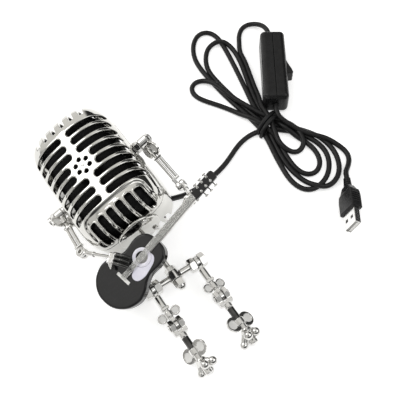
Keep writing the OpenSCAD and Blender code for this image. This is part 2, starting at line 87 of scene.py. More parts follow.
# ---------- camera ----------
cam = bpy.data.objects.new("camera", bpy.data.cameras.new("camera"))
scene.collection.objects.link(cam)
cam.data.sensor_width = 36.0
cam.data.lens = 72.2
cam.data.clip_start = 0.01
cam.location = Vector(to_row([-149.5, -217.6, 457.3]))
aim = Vector(to_row([0.0, 0.0, 0.0]))
cam.rotation_euler = (aim - cam.location).to_track_quat("-Z", "Y").to_euler()
scene.camera = cam


# ---------- materials ----------
class Mat:
    """A principled material whose colour, roughness and relief come from noise at the scale of the real surface."""

    def __init__(self, name, low, high, rough, scale, bump=0.0, bump_scale=None, metallic=0.0, stretch=(1, 1, 1), **fixed):
        m = self.m = bpy.data.materials.new(name)
        m.use_nodes = True
        t = self.t = m.node_tree
        self.b = t.nodes["Principled BSDF"]
        at = t.nodes.new("ShaderNodeTexCoord")
        mp = t.nodes.new("ShaderNodeMapping")
        mp.inputs["Scale"].default_value = stretch
        t.links.new(at.outputs["Object"], mp.inputs["Vector"])
        self.at = mp.outputs["Vector"]
        n = self.noise(scale, 4.0)
        r = t.nodes.new("ShaderNodeValToRGB")
        r.color_ramp.elements[0].position = 0.32
        r.color_ramp.elements[1].position = 0.68
        r.color_ramp.elements[0].color = (*low, 1)
        r.color_ramp.elements[1].color = (*high, 1)
        t.links.new(n.outputs["Fac"], r.inputs["Fac"])
        self.colour = r
        t.links.new(r.outputs["Color"], self.b.inputs["Base Color"])
        g = t.nodes.new("ShaderNodeMapRange")
        g.inputs["From Min"].default_value = 0.3
        g.inputs["From Max"].default_value = 0.7
        g.inputs["To Min"].default_value = rough[0]
        g.inputs["To Max"].default_value = rough[1]
        n2 = self.noise(scale * 2.3, 5.0)
        t.links.new(n2.outputs["Fac"], g.inputs["Value"])
        t.links.new(g.outputs["Result"], self.b.inputs["Roughness"])
        self.b.inputs["Metallic"].default_value = metallic
        for k, v in fixed.items():
            self.b.inputs[k.replace("_", " ")].default_value = v
        if bump:
            n3 = self.noise(bump_scale or scale, 3.0)
            bp = t.nodes.new("ShaderNodeBump")
            bp.inputs["Strength"].default_value = bump
            bp.inputs["Distance"].default_value = 0.0002
            t.links.new(n3.outputs["Fac"], bp.inputs["Height"])
            t.links.new(bp.outputs["Normal"], self.b.inputs["Normal"])

    def noise(self, scale, detail):
        n = self.t.nodes.new("ShaderNodeTexNoise")
        n.inputs["Scale"].default_value = scale
        n.inputs["Detail"].default_value = detail
        self.t.links.new(self.at, n.inputs["Vector"])
        return n


CHROME = Mat("chrome_body", (0.53, 0.525, 0.50), (0.63, 0.625, 0.60), (0.035, 0.085), 60, 0.05, 220, 1.0).m
FITTING = Mat("chrome_fitting", (0.57, 0.565, 0.55), (0.71, 0.705, 0.69), (0.04, 0.11), 180, 0.08, 420, 1.0).m
THREAD = Mat("chrome_thread", (0.62, 0.615, 0.60), (0.80, 0.79, 0.77), (0.14, 0.26), 400, 0.1, 900, 1.0).m
# painted bright reflection: a pale satin colour for the flat faces of the wing-nut ears, in place of what their chrome
# would mirror
PAINTED_BRIGHT_REFLECTION = Mat("satin_painted_bright_reflection", (0.70, 0.695, 0.68), (0.80, 0.795, 0.78), (0.28, 0.42), 240, 0.08, 900, 0.0).m
# painted dark reflection: near-black metal that stands in for the dark surroundings the shin rods and right fingers
# mirror
PAINTED_DARK_REFLECTION = Mat("chrome_painted_dark_reflection", (0.06, 0.06, 0.058), (0.11, 0.11, 0.108), (0.05, 0.12), 180, 0.05, 420, 1.0).m
LINER = Mat("liner_black", (0.002, 0.002, 0.0022), (0.005, 0.005, 0.0054), (0.50, 0.70), 300, 0.35, 900, Specular_IOR_Level=0.12).m
GLOSS = Mat("gloss_black", (0.004, 0.004, 0.0045), (0.008, 0.008, 0.009), (0.05, 0.12), 90, 0.03, 300, Specular_IOR_Level=0.4).m
TOP = Mat("guitar_top", (0.008, 0.008, 0.0085), (0.013, 0.013, 0.014), (0.07, 0.13), 160, 0.03, 500, stretch=(1, 6, 1)).m
CORD = Mat("cord_black", (0.006, 0.006, 0.0065), (0.013, 0.013, 0.0135), (0.32, 0.48), 350, 0.25, 1500, Specular_IOR_Level=0.25).m
SHELL = Mat("switch_black", (0.006, 0.006, 0.0065), (0.012, 0.012, 0.0125), (0.24, 0.38), 260, 0.22, 2200, Specular_IOR_Level=0.25).m
ROCKER = Mat("rocker_black", (0.008, 0.008, 0.009), (0.014, 0.014, 0.015), (0.22, 0.34), 300, 0.15, 1800, Specular_IOR_Level=0.25).m
WHITE = Mat("white_plastic", (0.78, 0.78, 0.76), (0.86, 0.86, 0.84), (0.30, 0.42), 200, 0.1, 1200).m
LAVENDER = Mat("pickguard_pale", (0.70, 0.69, 0.80), (0.80, 0.79, 0.88), (0.18, 0.30), 140, 0.05, 600).m
TRIM = Mat("rosette_pale", (0.72, 0.71, 0.80), (0.84, 0.83, 0.90), (0.20, 0.32), 220, 0.06, 700).m
STEEL = Mat("plug_steel", (0.70, 0.70, 0.69), (0.86, 0.86, 0.85), (0.12, 0.24), 150, 0.08, 700, 1.0, stretch=(1, 9, 9)).m
STRING = Mat("string_steel", (0.66, 0.66, 0.64), (0.86, 0.86, 0.84), (0.16, 0.28), 500, 0.1, 1500, 1.0).m
FRET = Mat("fretboard_silver", (0.36, 0.355, 0.34), (0.46, 0.455, 0.44), (0.28, 0.42), 220, 0.12, 900, 1.0, stretch=(1, 7, 1)).m
BOARD = Mat("board_green", (0.01, 0.09, 0.04), (0.02, 0.15, 0.07), (0.35, 0.5), 300, 0.1, 900).m
BULB = Mat("bulb_milky", (0.80, 0.76, 0.66), (0.88, 0.85, 0.76), (0.15, 0.25), 120, 0.03, 500).m


# ---------- mesh making ----------
def new_object(name, verts_m, faces, normals=None, mats=(), mat_index=None, smooth=True, sharp=None):
    me = bpy.data.meshes.new(name)
    faces = [np.asarray(f, np.int64) for f in faces if len(f)]
    me.vertices.add(len(verts_m))
    me.vertices.foreach_set("co", np.asarray(verts_m, np.float32).ravel())
    loops = np.concatenate([f.ravel() for f in faces])
    sizes = np.concatenate([np.full(len(f), f.shape[1], np.int64) for f in faces])
    starts = np.concatenate([[0], np.cumsum(sizes)[:-1]])
    me.loops.add(len(loops))
    me.loops.foreach_set("vertex_index", loops.astype(np.int32))
    me.polygons.add(len(sizes))
    me.polygons.foreach_set("loop_start", starts.astype(np.int32))
    me.polygons.foreach_set("use_smooth", np.full(len(sizes), bool(smooth)))
    for m in mats:
        me.materials.append(m)
    if mat_index is not None:
        me.polygons.foreach_set("material_index", np.asarray(mat_index, np.int32))
    me.update(calc_edges=True)
    if normals is not None:
        me.normals_split_custom_set_from_vertices(np.asarray(normals, np.float32))
    elif sharp is not None:
        mark_sharp(me, sharp)
    ob = bpy.data.objects.new(name, me)
    scene.collection.objects.link(ob)
    return ob


def mark_sharp(me, deg):
    pn = np.empty(len(me.polygons) * 3, np.float32)
    me.polygons.foreach_get("normal", pn)
    pn = pn.reshape(-1, 3)
    le = np.empty(len(me.loops), np.int32)
    me.loops.foreach_get("edge_index", le)
    ls = np.empty(len(me.polygons), np.int32)
    me.polygons.foreach_get("loop_start", ls)
    owner = np.searchsorted(ls, np.arange(len(le)), side="right") - 1
    order = np.argsort(le, kind="stable")
    es, ow = le[order], owner[order]
    sharp = np.zeros(len(me.edges), bool)
    same = es[1:] == es[:-1]
    dots = np.einsum("ij,ij->i", pn[ow[1:][same]], pn[ow[:-1][same]])
    sharp[es[1:][same][dots < math.cos(math.radians(deg))]] = True
    a = me.attributes.get("sharp_edge") or me.attributes.new("sharp_edge", "BOOLEAN", "EDGE")
    a.data.foreach_set("value", sharp)


def settle_piece(ob, nodes, body=None):
    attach(ob, body or BODY_OF[nodes[0]])
    if nodes:
        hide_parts(*nodes)
    return ob


def nets(f, lo, hi, h, steps=3):
    """Quads on the zero level of f inside a box, each corner moved onto the level, with the true normals."""
    lo, hi = np.asarray(lo, float) - 1.3 * h, np.asarray(hi, float) + 1.3 * h
    n = np.ceil((hi - lo) / h).astype(int) + 1
    ax = [lo[i] + h * np.arange(n[i]) for i in range(3)]
    val = np.empty(n, np.float32)
    for i in range(0, n[0], 24):
        val[i : i + 24] = f(*np.meshgrid(ax[0][i : i + 24], ax[1], ax[2], indexing="ij"))
    ins = val < 0
    cnt = np.zeros(n - 1, np.int8)
    for i in (0, 1):
        for j in (0, 1):
            for k in (0, 1):
                cnt += ins[i : n[0] - 1 + i, j : n[1] - 1 + j, k : n[2] - 1 + k]
    act = (cnt > 0) & (cnt < 8)
    idx = np.full(act.shape, -1, np.int64)
    ci = np.argwhere(act)
    idx[act] = np.arange(len(ci))
    pos = np.zeros((len(ci), 3))
    wt = np.zeros(len(ci))
    corner = np.array([(i, j, k) for i in (0, 1) for j in (0, 1) for k in (0, 1)])
    for p in corner:
        for axis in range(3):
            if p[axis] == 0:
                q = p.copy()
                q[axis] = 1
                vp = val[tuple((ci + p).T)]
                vq = val[tuple((ci + q).T)]
                m = (vp < 0) != (vq < 0)
                t = np.where(m, vp / np.where(m, vp - vq, 1), 0)
                pos += m[:, None] * (p + t[:, None] * (q - p))
                wt += m
    P = lo + h * (ci + pos / wt[:, None])
    quads = []
    for a in range(3):
        b, c = (a + 1) % 3, (a + 2) % 3
        s0, s1 = [slice(None)] * 3, [slice(None)] * 3
        s0[a], s1[a] = slice(0, n[a] - 1), slice(1, n[a])
        e = np.argwhere(ins[tuple(s0)] != ins[tuple(s1)])
        e = e[(e[:, b] > 0) & (e[:, b] < n[b] - 1) & (e[:, c] > 0) & (e[:, c] < n[c] - 1)]
        near = ins[tuple(e.T)]

        def cell(db, dc):
            t = e.copy()
            t[:, b] += db
            t[:, c] += dc
            return idx[tuple(t.T)]

        q = np.stack([cell(-1, -1), cell(0, -1), cell(0, 0), cell(-1, 0)], 1)
        q[~near] = q[~near][:, ::-1]
        quads.append(q)
    eps = 0.04 * h

    def grad(p):
        g = np.empty_like(p)
        for a in range(3):
            d = np.zeros(3)
            d[a] = eps
            u, w = p + d, p - d
            g[:, a] = (f(u[:, 0], u[:, 1], u[:, 2]) - f(w[:, 0], w[:, 1], w[:, 2])) / (2 * eps)
        return g

    P0 = P.copy()
    for _ in range(steps):
        g = grad(P)
        v = f(P[:, 0], P[:, 1], P[:, 2])
        d = (v / np.maximum((g * g).sum(1), 0.05))[:, None] * g
        P = P - np.clip(d, -0.5 * h, 0.5 * h)
        P = P0 + np.clip(P - P0, -0.9 * h, 0.9 * h)
    g = grad(P)
    N = g / np.maximum(np.linalg.norm(g, axis=1, keepdims=True), 1e-9)
    return P, np.concatenate(quads), N


def solid(name, f, lo, hi, h, m, mat, nodes, paint=None):
    """A piece from one field or a list of (field, lo, hi), in the frame m."""
    parts = [(f, lo, hi)] if callable(f) else f
    V, Q, N, k = [], [], [], 0
    for g, a, b in parts:
        p, q, nn = nets(g, a, b, h)
        V.append(p)
        Q.append(q + k)
        N.append(nn)
        k += len(p)
    V, Q, N = np.concatenate(V), np.concatenate(Q), np.concatenate(N)
    mats = list(mat) if isinstance(mat, (list, tuple)) else [mat]
    which = paint(V[Q].mean(1), N[Q].mean(1)) if paint else None
    ob = new_object(name, to_row(V, m), [Q], N @ m[:3, :3].T, mats, which)
    return settle_piece(ob, nodes)


# fields: distance in millimetres, negative inside
def hyp(a, b):
    return np.sqrt(a * a + b * b)


def rb2(a, b, r):
    a, b = a + r, b + r
    return np.minimum(np.maximum(a, b), 0) + hyp(np.maximum(a, 0), np.maximum(b, 0)) - r


def smin(a, b, k):
    t = np.clip(0.5 + 0.5 * (b - a) / k, 0, 1)
    return b * (1 - t) + a * t - k * t * (1 - t)


def smax(a, b, k):
    return -smin(-a, -b, k)


def span(t, t0, t1):
    return np.abs(t - 0.5 * (t0 + t1)) - 0.5 * (t1 - t0)


def cyl(u, w, t, r, t0, t1, rd=0.25):
    return rb2(hyp(u, w) - r, span(t, t0, t1), rd)


def hexa(u, w, t, af, t0, t1, rd=0.18):
    d = np.maximum(np.abs(u), np.maximum(np.abs(0.5 * u + 0.8660254 * w), np.abs(0.5 * u - 0.8660254 * w))) - af / 2
    e = span(t, t0, t1)
    return smax(rb2(d, e, rd), (hyp(u, w) - 0.5 * af) * 0.5 + e * 0.866, 0.12)


def bar(x, y, z, lo, hi, rd=0.4):
    a, b, c = (span(q, l, g) + rd for q, l, g in zip((x, y, z), lo, hi))
    return np.minimum(np.maximum(a, np.maximum(b, c)), 0) + np.sqrt(np.maximum(a, 0) ** 2 + np.maximum(b, 0) ** 2 + np.maximum(c, 0) ** 2) - rd


def ball(x, y, z, c, r):
    return np.sqrt((x - c[0]) ** 2 + (y - c[1]) ** 2 + (z - c[2]) ** 2) - r


def cap(x, y, z, p, q, r0, r1=None):
    d = [b - a for a, b in zip(p, q)]
    L2 = sum(a * a for a in d)
    t = np.clip(((x - p[0]) * d[0] + (y - p[1]) * d[1] + (z - p[2]) * d[2]) / L2, 0, 1)
    r = r0 if r1 is None else r0 + (r1 - r0) * t
    return np.sqrt((x - p[0] - t * d[0]) ** 2 + (y - p[1] - t * d[1]) ** 2 + (z - p[2] - t * d[2]) ** 2) - r


# ---------- swept and turned meshes ----------
def sweep(path, radius, sides=20, ends=True):
    """A round tube on a path (mm); radius is a number or one for each point."""
    p = np.asarray(path, float)
    r = np.broadcast_to(np.asarray(radius, float), (len(p),))
    t = np.gradient(p, axis=0)
    t /= np.linalg.norm(t, axis=1, keepdims=True)
    a = np.cross(t[0], (0, 0, 1.0))
    if np.linalg.norm(a) < 0.1:
        a = np.cross(t[0], (1.0, 0, 0))
    a /= np.linalg.norm(a)
    V = []
    k = np.arange(sides) * 2 * math.pi / sides
    for i in range(len(p)):
        a = a - t[i] * (a @ t[i])
        a /= np.linalg.norm(a)
        b = np.cross(t[i], a)
        V.append(p[i] + r[i] * (np.cos(k)[:, None] * a + np.sin(k)[:, None] * b))
    V = np.concatenate(V)
    i, j = np.meshgrid(np.arange(len(p) - 1), np.arange(sides), indexing="ij")
    i, j = i.ravel(), j.ravel()
    j2 = (j + 1) % sides
    Q = np.stack([i * sides + j, i * sides + j2, (i + 1) * sides + j2, (i + 1) * sides + j], 1)
    F = [Q]
    if ends:
        F.append(np.arange(sides)[::-1][None])
        F.append((np.arange(sides) + (len(p) - 1) * sides)[None])
    return V, F


def turned(profile, sides=40, axis="z"):
    """A closed turned solid from (radius, height) points that begin and end on the axis."""
    pr = np.asarray(profile, float)
    k = np.arange(sides) * 2 * math.pi / sides
    V, rows = [], []
    for r, h in pr:
        if r < 1e-6:
            rows.append([len(V)] * sides)
            V.append((0, 0, h))
        else:
            rows.append(list(range(len(V), len(V) + sides)))
            V += [(r * math.cos(q), r * math.sin(q), h) for q in k]
    T, Q = [], []
    for A, B in zip(rows[:-1], rows[1:]):
        for j in range(sides):
            q = (A[j], A[(j + 1) % sides], B[(j + 1) % sides], B[j])
            if A[0] == A[1]:
                T.append((q[0], q[2], q[3]))
            elif B[0] == B[1]:
                T.append((q[0], q[1], q[2]))
            else:
                Q.append(q)
    V = np.array(V)
    if axis == "y":
        V = V[:, [1, 2, 0]]
    if axis == "x":
        V = V[:, [2, 0, 1]]
    return V, [np.array(T).reshape(-1, 3), np.array(Q).reshape(-1, 4)]


def merged(list_of):
    V, F, k = [], [], 0
    for v, f in list_of:
        V.append(v)
        F += [np.asarray(x) + k for x in f if len(x)]
        k += len(v)
    return np.concatenate(V), F


def plain(name, vf, m, mat, nodes, sharp=38):
    ob = new_object(name, to_row(vf[0], m), vf[1], None, [mat], None, True, sharp)
    return settle_piece(ob, nodes)


# ---------- cord ----------
CD = 3.6
ROUTE_A = [
    # lead from the body to the tie
    (-19.5, 4.4, 14.2), (-14, 4.6, 10.8), (-8, 5.4, 6.8), (-1.5, 6.6, 3.4), (6, 7.4, 2), (13, 8.4, 1.8), (20, 9.8, 1.8),
    (27, 11.6, 1.8), (34, 14.4, 1.8), (40, 17.6, 1.8), (46, 20.4, 1.8), (52.5, 22, 1.8), (58, 22.4, 1.9), (63.4, 21.6, 2.2),
    (70, 20.4, 2), (77, 16.5, 2), (83.5, 9, 2),
    # first lower loop, from its right side round to its left
    (89.5, -2, 2), (92.2, -12, 2), (91.5, -20, 2), (87.4, -27.2, 2), (81.7, -33, 2), (75, -36.2, 2), (66.8, -37.6, 2),
    (60.6, -34.6, 2), (57.8, -28, 2), (57.4, -21, 2), (59, -11.7, 2), (62.1, 0.6, 2), (65.4, 12, 2), (66.4, 22, 2), (65.4, 34, 2),
    # tall upper loop
    (64, 47.2, 2), (62.6, 62, 2), (62, 76.5, 2), (61.6, 88, 2), (63, 98.4, 2), (67, 107, 2), (73.4, 114.6, 2), (80.6, 118, 2),
    (86.4, 116, 2), (89.2, 109.5, 2), (88.2, 98.3, 2), (83.6, 78, 2), (76.4, 49.5, 2), (73, 32, 2), (74.6, 20, 2),
    # second lower loop
    (81.5, 12, 2.5), (89, 4.5, 2.5), (94.6, -3, 2.5), (97.3, -12, 2.5), (96.8, -21, 2.5), (93.6, -29.6, 2.5), (88.6, -36.4, 2.5),
    (82.4, -40, 2.5), (75.4, -41.2, 2.5), (69.4, -38.6, 2.5), (65.6, -32, 2.5), (63.4, -21.4, 2.5), (63.6, -10, 2.5), (66.4, 1.6, 2.5),
    (69.4, 12, 2.8), (70.4, 22, 3), (69, 34, 3), (67, 47, 2.8),
    # second upper loop
    (65.2, 61, 2.8), (63.8, 75, 2.8), (65.6, 86.8, 2.8), (70.7, 96, 2.8), (77, 102.6, 2.8), (83.6, 104.4, 2.8), (89, 101.6, 2.8),
    (92, 95.6, 2.8), (92, 87, 2.8), (90.4, 77.7, 2.8), (86.4, 66.3, 2.8), (82, 54, 2.8), (77.4, 42, 2.8), (75.6, 31, 3), (77.4, 20, 3.4),
    # third lower loop
    (81.6, 8, 3.2), (85, -3.5, 3), (86.6, -13, 3), (84.6, -21, 3), (79.6, -26.6, 3), (73, -28.4, 3), (67.6, -24.6, 3),
    (65.4, -16, 3), (66.4, -4, 3), (69, 8, 3.4), (69.4, 18, 4), (66.6, 29, 4),
    # side loop
    (61.6, 41, 3.2), (56, 51.6, 2.6), (49.8, 61, 2.4), (45.4, 67.2, 2.2), (43.6, 73.4, 2.2), (45.6, 79.4, 2.2), (51.4, 82.4, 2.4), (57.6, 80.2, 2.6),
    (61.2, 73.6, 2.8), (62.6, 63.4, 3.4), (65.6, 50, 3.8), (69.8, 38, 4), (73.6, 28, 4.6),
    # loop over the tie
    (79.4, 19.6, 5.4), (84.6, 11.4, 4.8), (86.4, 2.4, 4), (83.6, -5.6, 3.8), (76.8, -8.8, 3.8), (70, -5.8, 3.8), (67.4, 2, 4), (69.8, 11, 4.6),
    (73.6, 21, 5.6), (76.6, 32, 4.6),
    # up to the switch
    (79.6, 43, 3.4), (83.4, 55, 2.6), (87.6, 66.6, 2.2), (91.6, 76.6, 1.8), (95, 86.4, 1.8), (99, 93, 1.8), (103.4, 99, 1.8),
    (108.6, 103, 1.8), (114, 103.8, 2), (118.6, 101, 3), (120.8, 96, 5), (120.6, 90, 7.2), (118.6, 84.4, 8.8), (115.6, 79.8, 9),
]
ROUTE_B = [
    (83.8, 28.8, 9), (82.2, 26.4, 8.6), (80.8, 23.8, 8.2), (80.4, 18.6, 7.4), (83.4, 10, 6), (88.4, 1, 4.4), (94, -6.4, 3.4), (99.4, -14, 3),
    (102.8, -21, 2.6), (103.6, -27.6, 2.4), (101.2, -32.6, 2.6), (96.6, -35.4, 3.2), (93, -37.4, 4), (90, -40.2, 4.9), (88.4, -42.5, 5.6), (87.1, -44.4, 6),
]


def resample(pts, step):
    p = np.asarray(pts, float)
    out = []
    for i in range(len(p) - 1):
        a, b, c, d = p[max(i - 1, 0)], p[i], p[i + 1], p[min(i + 2, len(p) - 1)]
        n = 8
        for k in range(n):
            t = k / n
            out.append(b + 0.5 * t * ((c - a) + t * ((2 * a - 5 * b + 4 * c - d) + t * (3 * (b - c) + d - a))))
    out.append(p[-1])
    q = np.array(out)
    s = np.concatenate([[0], np.cumsum(np.linalg.norm(np.diff(q, axis=0), axis=1))])
    m = max(int(round(s[-1] / step)), 4)
    u = np.linspace(0, s[-1], m + 1)
    return np.stack([np.interp(u, s, q[:, k]) for k in range(3)], 1)


def lay_down(routes, d, step=2.4, rounds=260):
    """Lets the cords lie on the floor and on each other: no strand in another, and low humps where they cross."""
    cords = [resample(r, step) for r in routes]
    ids = np.concatenate([np.full(len(c), i) for i, c in enumerate(cords)])
    seq = np.concatenate([np.arange(len(c)) for c in cords])
    X = np.concatenate(cords)
    home = X.copy()
    held = np.concatenate([(np.arange(len(c)) < 14) | (np.arange(len(c)) > len(c) - (27 if i == 0 else 5)) for i, c in enumerate(cords)])
    held |= (ids == 1) & (seq < 4)
    first = seq == 0
    last = np.concatenate([np.arange(len(c)) == len(c) - 1 for c in cords])
    inner = ~(first | last)
    sw = (56.3 - 90) * math.pi / 180
    ux, uy = np.array([math.cos(sw), math.sin(sw)]), np.array([-math.sin(sw), math.cos(sw)])
    n = len(X)
    I, J = np.triu_indices(n, 1)
    keep = (ids[I] != ids[J]) | (J - I > 6)
    I, J = I[keep], J[keep]
    for it in range(rounds):
        near = np.abs(X[I, 0] - X[J, 0]) < d
        i, j = I[near], J[near]
        v = X[i] - X[j]
        v[:, 2] += np.where(np.abs(v[:, 2]) < 0.2, np.where(i > j, 0.2, -0.2), 0)
        L = np.linalg.norm(v, axis=1)
        c = L < d
        i, j, v, L = i[c], j[c], v[c], np.maximum(L[c], 1e-6)
        push = 0.42 * ((d - L) / L)[:, None] * v
        acc = np.zeros_like(X)
        cnt = np.zeros(n)
        np.add.at(acc, i, push)
        np.add.at(acc, j, -push)
        np.add.at(cnt, i, 1)
        np.add.at(cnt, j, 1)
        move = acc / np.maximum(1, cnt * 0.6)[:, None]
        lap = np.zeros_like(X)
        mid = np.where(inner)[0]
        lap[mid] = 0.5 * (X[mid - 1] + X[mid + 1]) - X[mid]
        move += 0.25 * lap
        move[:, :2] += 0.08 * (home[:, :2] - X[:, :2])
        move[:, 2] -= 0.05
        move[held] = 0
        X = X + move
        # the switch stands beside the strands
        r = X[:, :2] - np.array([100.5, 53.8])
        a, b = r @ ux, r @ uy
        gap = a + 8.7 + d / 2 + 0.1
        hit = (gap > 0) & (gap < 9) & (np.abs(b) < 31) & ~held
        X[hit, :2] -= 0.5 * gap[hit, None] * ux
        low = ~held
        X[low, 2] = np.maximum(X[low, 2], d / 2)
    for _ in range(5):
        mid = np.where(inner & ~held)[0]
        X[mid] = 0.25 * X[mid - 1] + 0.5 * X[mid] + 0.25 * X[mid + 1]
    out, k = [], 0
    for c in cords:
        out.append(X[k : k + len(c)])
        k += len(c)
    return out


def cord_curve(name, path, nodes):
    cu = bpy.data.curves.new(name, "CURVE")
    cu.dimensions = "3D"
    cu.bevel_depth = CD / 2000
    cu.bevel_resolution = 5
    cu.resolution_u = 2
    cu.use_fill_caps = True
    p = to_row(path)
    sp = cu.splines.new("POLY")
    sp.points.add(len(p) - 1)
    for q, co in zip(sp.points, p):
        q.co = (*co, 1)
    sp.use_smooth = True
    cu.materials.append(CORD)
    ob = bpy.data.objects.new(name, cu)
    scene.collection.objects.link(ob)
    return settle_piece(ob, nodes)


def length_of(path):
    return float(np.linalg.norm(np.diff(path, axis=0), axis=1).sum())


PATH_A, PATH_B = lay_down([ROUTE_A, ROUTE_B], 3.5)
cord_a = cord_curve("cord_to_switch", PATH_A, ["cord_lead", "cord_hank_upper", "cord_hank_lower", "cord_switch_in"])
cord_b = cord_curve("cord_to_plug", PATH_B, ["cord_switch_out", "cord_plug_lead"])

# two wraps of the same cord that hold the hank
tie = []
for off, lift in ((0.0, 0.0), (3.5, -0.3)):
    k = np.linspace(-0.06, 1.06, 44) * math.pi
    x = 72.3 - 9.6 * np.cos(k)
    z = 1.2 + (7.8 + lift) * np.maximum(np.sin(k), -0.1) ** 1.0
    y = 19.2 + off + 0.24 * (x - 72.3) + 1.6 * np.sin(k * 0.5)
    tie.append(sweep(np.stack([x, y, np.maximum(z, 1.55)], 1), 1.5, 14))
plain("cord_tie_wraps", merged(tie), WORLD, CORD, ["cord_tie"])

# ---------- microphone ----------
PITCH, SLOT, TURN = 6.85, 4.5, 1.1
UP_SLOTS = (-16.9, -10.2, -3.4, 3.4, 10.2, 16.9)


def form(a, v, n):
    """About the distance to the body's outer form."""
    top = v > 0
    V = np.where(top, 42.0, 43.5)
    P = np.where(top, 5.0, 6.0)
    u, w, t = np.abs(a) / 28.5, np.abs(n) / 28.0, np.abs(v) / V
    q = np.cbrt(u**3 + w**3) + 1e-9
    rho = (q**P + t**P) ** (1 / P)
    k = (q / rho) ** (P - 1)
    ga = k * (u / q) ** 2 / 28.5
    gn = k * (w / q) ** 2 / 28.0
    gv = (t / rho) ** (P - 1) / V
    return (rho - 1) / np.maximum(np.sqrt(ga * ga + gn * gn + gv * gv), 0.012)


def step01(x):
    x = np.clip(x, 0, 1)
    return x * x * (3 - 2 * x)


def row_slots(a, v, n, ring):
    """Field of the level slots on the side that n points to."""
    k = np.clip(np.round(3.5 - v / PITCH), 0, 7)
    dv = np.abs(v - (3.5 - k) * PITCH) - SLOT / 2
    inner = np.where(ring & ((k == 3) | (k == 4)), 8.0, 2.5)
    outer = np.where(a > 0, 25.8, 25.6)
    return rb2(dv, np.maximum(np.maximum(inner - np.abs(a), np.abs(a) - outer), 9.0 - n), 1.9)


def near_slot(a):
    return np.min([np.abs(a - c) for c in UP_SLOTS], axis=0) - 2.05


def front_field(a, v, n):
    d = form(a, v, n)
    a = a - TURN
    da = near_slot(a)
    low = rb2(da - 0.15, np.maximum(v + 32.0, 9.0 - n), 1.9)
    edge = rb2(np.abs(a) - 21.6, v + 28.2, 4.0)
    panel = step01(0.5 - edge / 2.2) * step01((n - 7.5) / 7) * step01((v + 45.5) / 6)
    d = d + 1.25 * panel - 0.6 * np.exp(-(((low - 0.4) / 0.34) ** 2)) * panel
    s = smax(d, -(d + 2.1), 0.25)
    s = smax(s, 6.12 - n, 0.35)
    s = smax(s, -row_slots(a, v, n, True), 0.95)
    s = smax(s, -low, 0.3)
    s = smax(s, -rb2(da + 0.65, 30.6 - v, 1.0), 0.5)
    for i in range(6):
        q = math.radians(30 + 60 * i)
        s = smax(s, -rb2(hyp(a - 4.6 * math.cos(q), v - 4.6 * math.sin(q)) - 1.4, 20 - n, 0.01), 0.3)
    return s


def rear_field(a, v, n):
    d = form(a, v, n)
    s = smax(d, -(d + 2.1), 0.25)
    s = smax(s, n - 5.88, 0.35)
    s = smax(s, -row_slots(a, v, -n, np.array(False)), 0.95)
    da = near_slot(a)
    s = smax(s, -rb2(near_slot(a - TURN) + 0.65, 30.6 - v, 1.0), 0.5)
    s = smax(s, -rb2(da, np.maximum(v + 32.0, 9.0 + n), 1.9), 0.6)
    c, e = math.cos(math.radians(143.13)), math.sin(math.radians(143.13))
    t = (a - 20.5) * e + (n + 24) * c
    r = hyp((a - 20.5) * c - (n + 24) * e, v + 27.5)
    return smax(s, -rb2(r - 2.62, np.abs(t) - 6, 0.01), 0.2)


solid("front_grille_shell", front_field, (-28.6, -43.6, 5.6), (28.6, 42.1, 28.1), 0.46, MIC, CHROME, ["front_grille"])
solid("rear_shell_cast", rear_field, (-28.6, -43.6, -28.1), (28.6, 42.1, 6.2), 0.62, MIC, CHROME, ["rear_shell"])


def liner_field(a, v, n):
    d = form(a, v, n) + 5.6 - 2.25 * step01((-29.5 - v) / 3.5)
    return smax(d, -41.0 - v, 1.0) - 0.10 * np.sin(a * 5.2) * np.sin(v * 5.2)


solid("liner_body", liner_field, (-25.5, -41.5, -25), (25.5, 37, 25), 0.8, MIC, LINER, ["grille_liner"])


def cap_profile(r, y0, y1, e=0.4):
    return [(0, y0), (r - e, y0), (r - 0.3 * e, y0 + 0.3 * e), (r, y0 + e), (r, y1 - e), (r - 0.3 * e, y1 - 0.3 * e), (r - e, y1), (0, y1)]


plain("bottom_cap_disc", turned([(0, -45.3), (11.2, -45.3), (11.7, -45.0), (13.4, -45.0), (14.1, -44.7), (14.4, -44.2), (14.4, -43.6), (0, -43.6)], 64, "y"), MIC, CHROME, ["bottom_cap"])


def screw_field(parts):
    def f(x, y, z):
        out = None
        for sx, sz in parts:
            u, w = x - sx, z - sz
            head = smax(rb2(hyp(u, w) - 1.7, span(y, -46.3, -45.25), 0.3), -rb2(np.abs(u * 0.8 + w * 0.6) - 0.22, y + 45.85, 0.02), 0.05)
            shaft = cyl(u, w, y, 0.85, -45.4, -40.0, 0.1)
            one = np.minimum(head, shaft)
            out = one if out is None else np.minimum(out, one)
        return out

    return f


def grille_screw(x, y, z):
    x = x - TURN
    head = ball(x, y, z, (0, 0, 26.6), 1.75)
    head = np.maximum(head, hyp(x, y) - 1.1)
    head = smax(head, 25.4 - z, 0.1)
    return smax(head, -rb2(np.abs(0.8 * x - 0.6 * y) - 0.18, 27.95 - z, 0.02), 0.05)


solid(
    "body_screw_set",
    [(screw_field([(sx * 8, sz)]), (sx * 8 - 1.8, -46.4, sz - 1.8), (sx * 8 + 1.8, -39.9, sz + 1.8)) for sx in (-1, 1) for sz in (-8, 10)]
    + [(grille_screw, (-0.2, -1.3, 25.2), (2.4, 1.3, 28.5))],
    None, None, 0.16, MIC, FITTING, ["body_screws"],
)

# ---------- shoulders ----------
SV = 1.0


def left_stud(x, y, z):
    y = y - SV
    s = cyl(y, z, x, 2.0, 24.3, 39.4, 0.3)
    s = smin(s, hexa(y, z, x, 6.8, 28.6, 31.9), 0.15)
    s = smin(s, cyl(y, z, x, 2.6, 31.0, 32.2, 0.1), 0.2)
    return np.minimum(s, cyl(y, z, x, 3.2, 23.1, 24.35, 0.2))


def right_stud(x, y, z):
    y = y - SV
    s = cyl(y, z, x, 2.0, -42.0, -24.3, 0.3)
    s = smin(s, cyl(y, z, x, 3.4, -31.4, -28.6, 0.55), 0.2)
    return np.minimum(s, cyl(y, z, x, 3.2, -24.35, -23.1, 0.2))


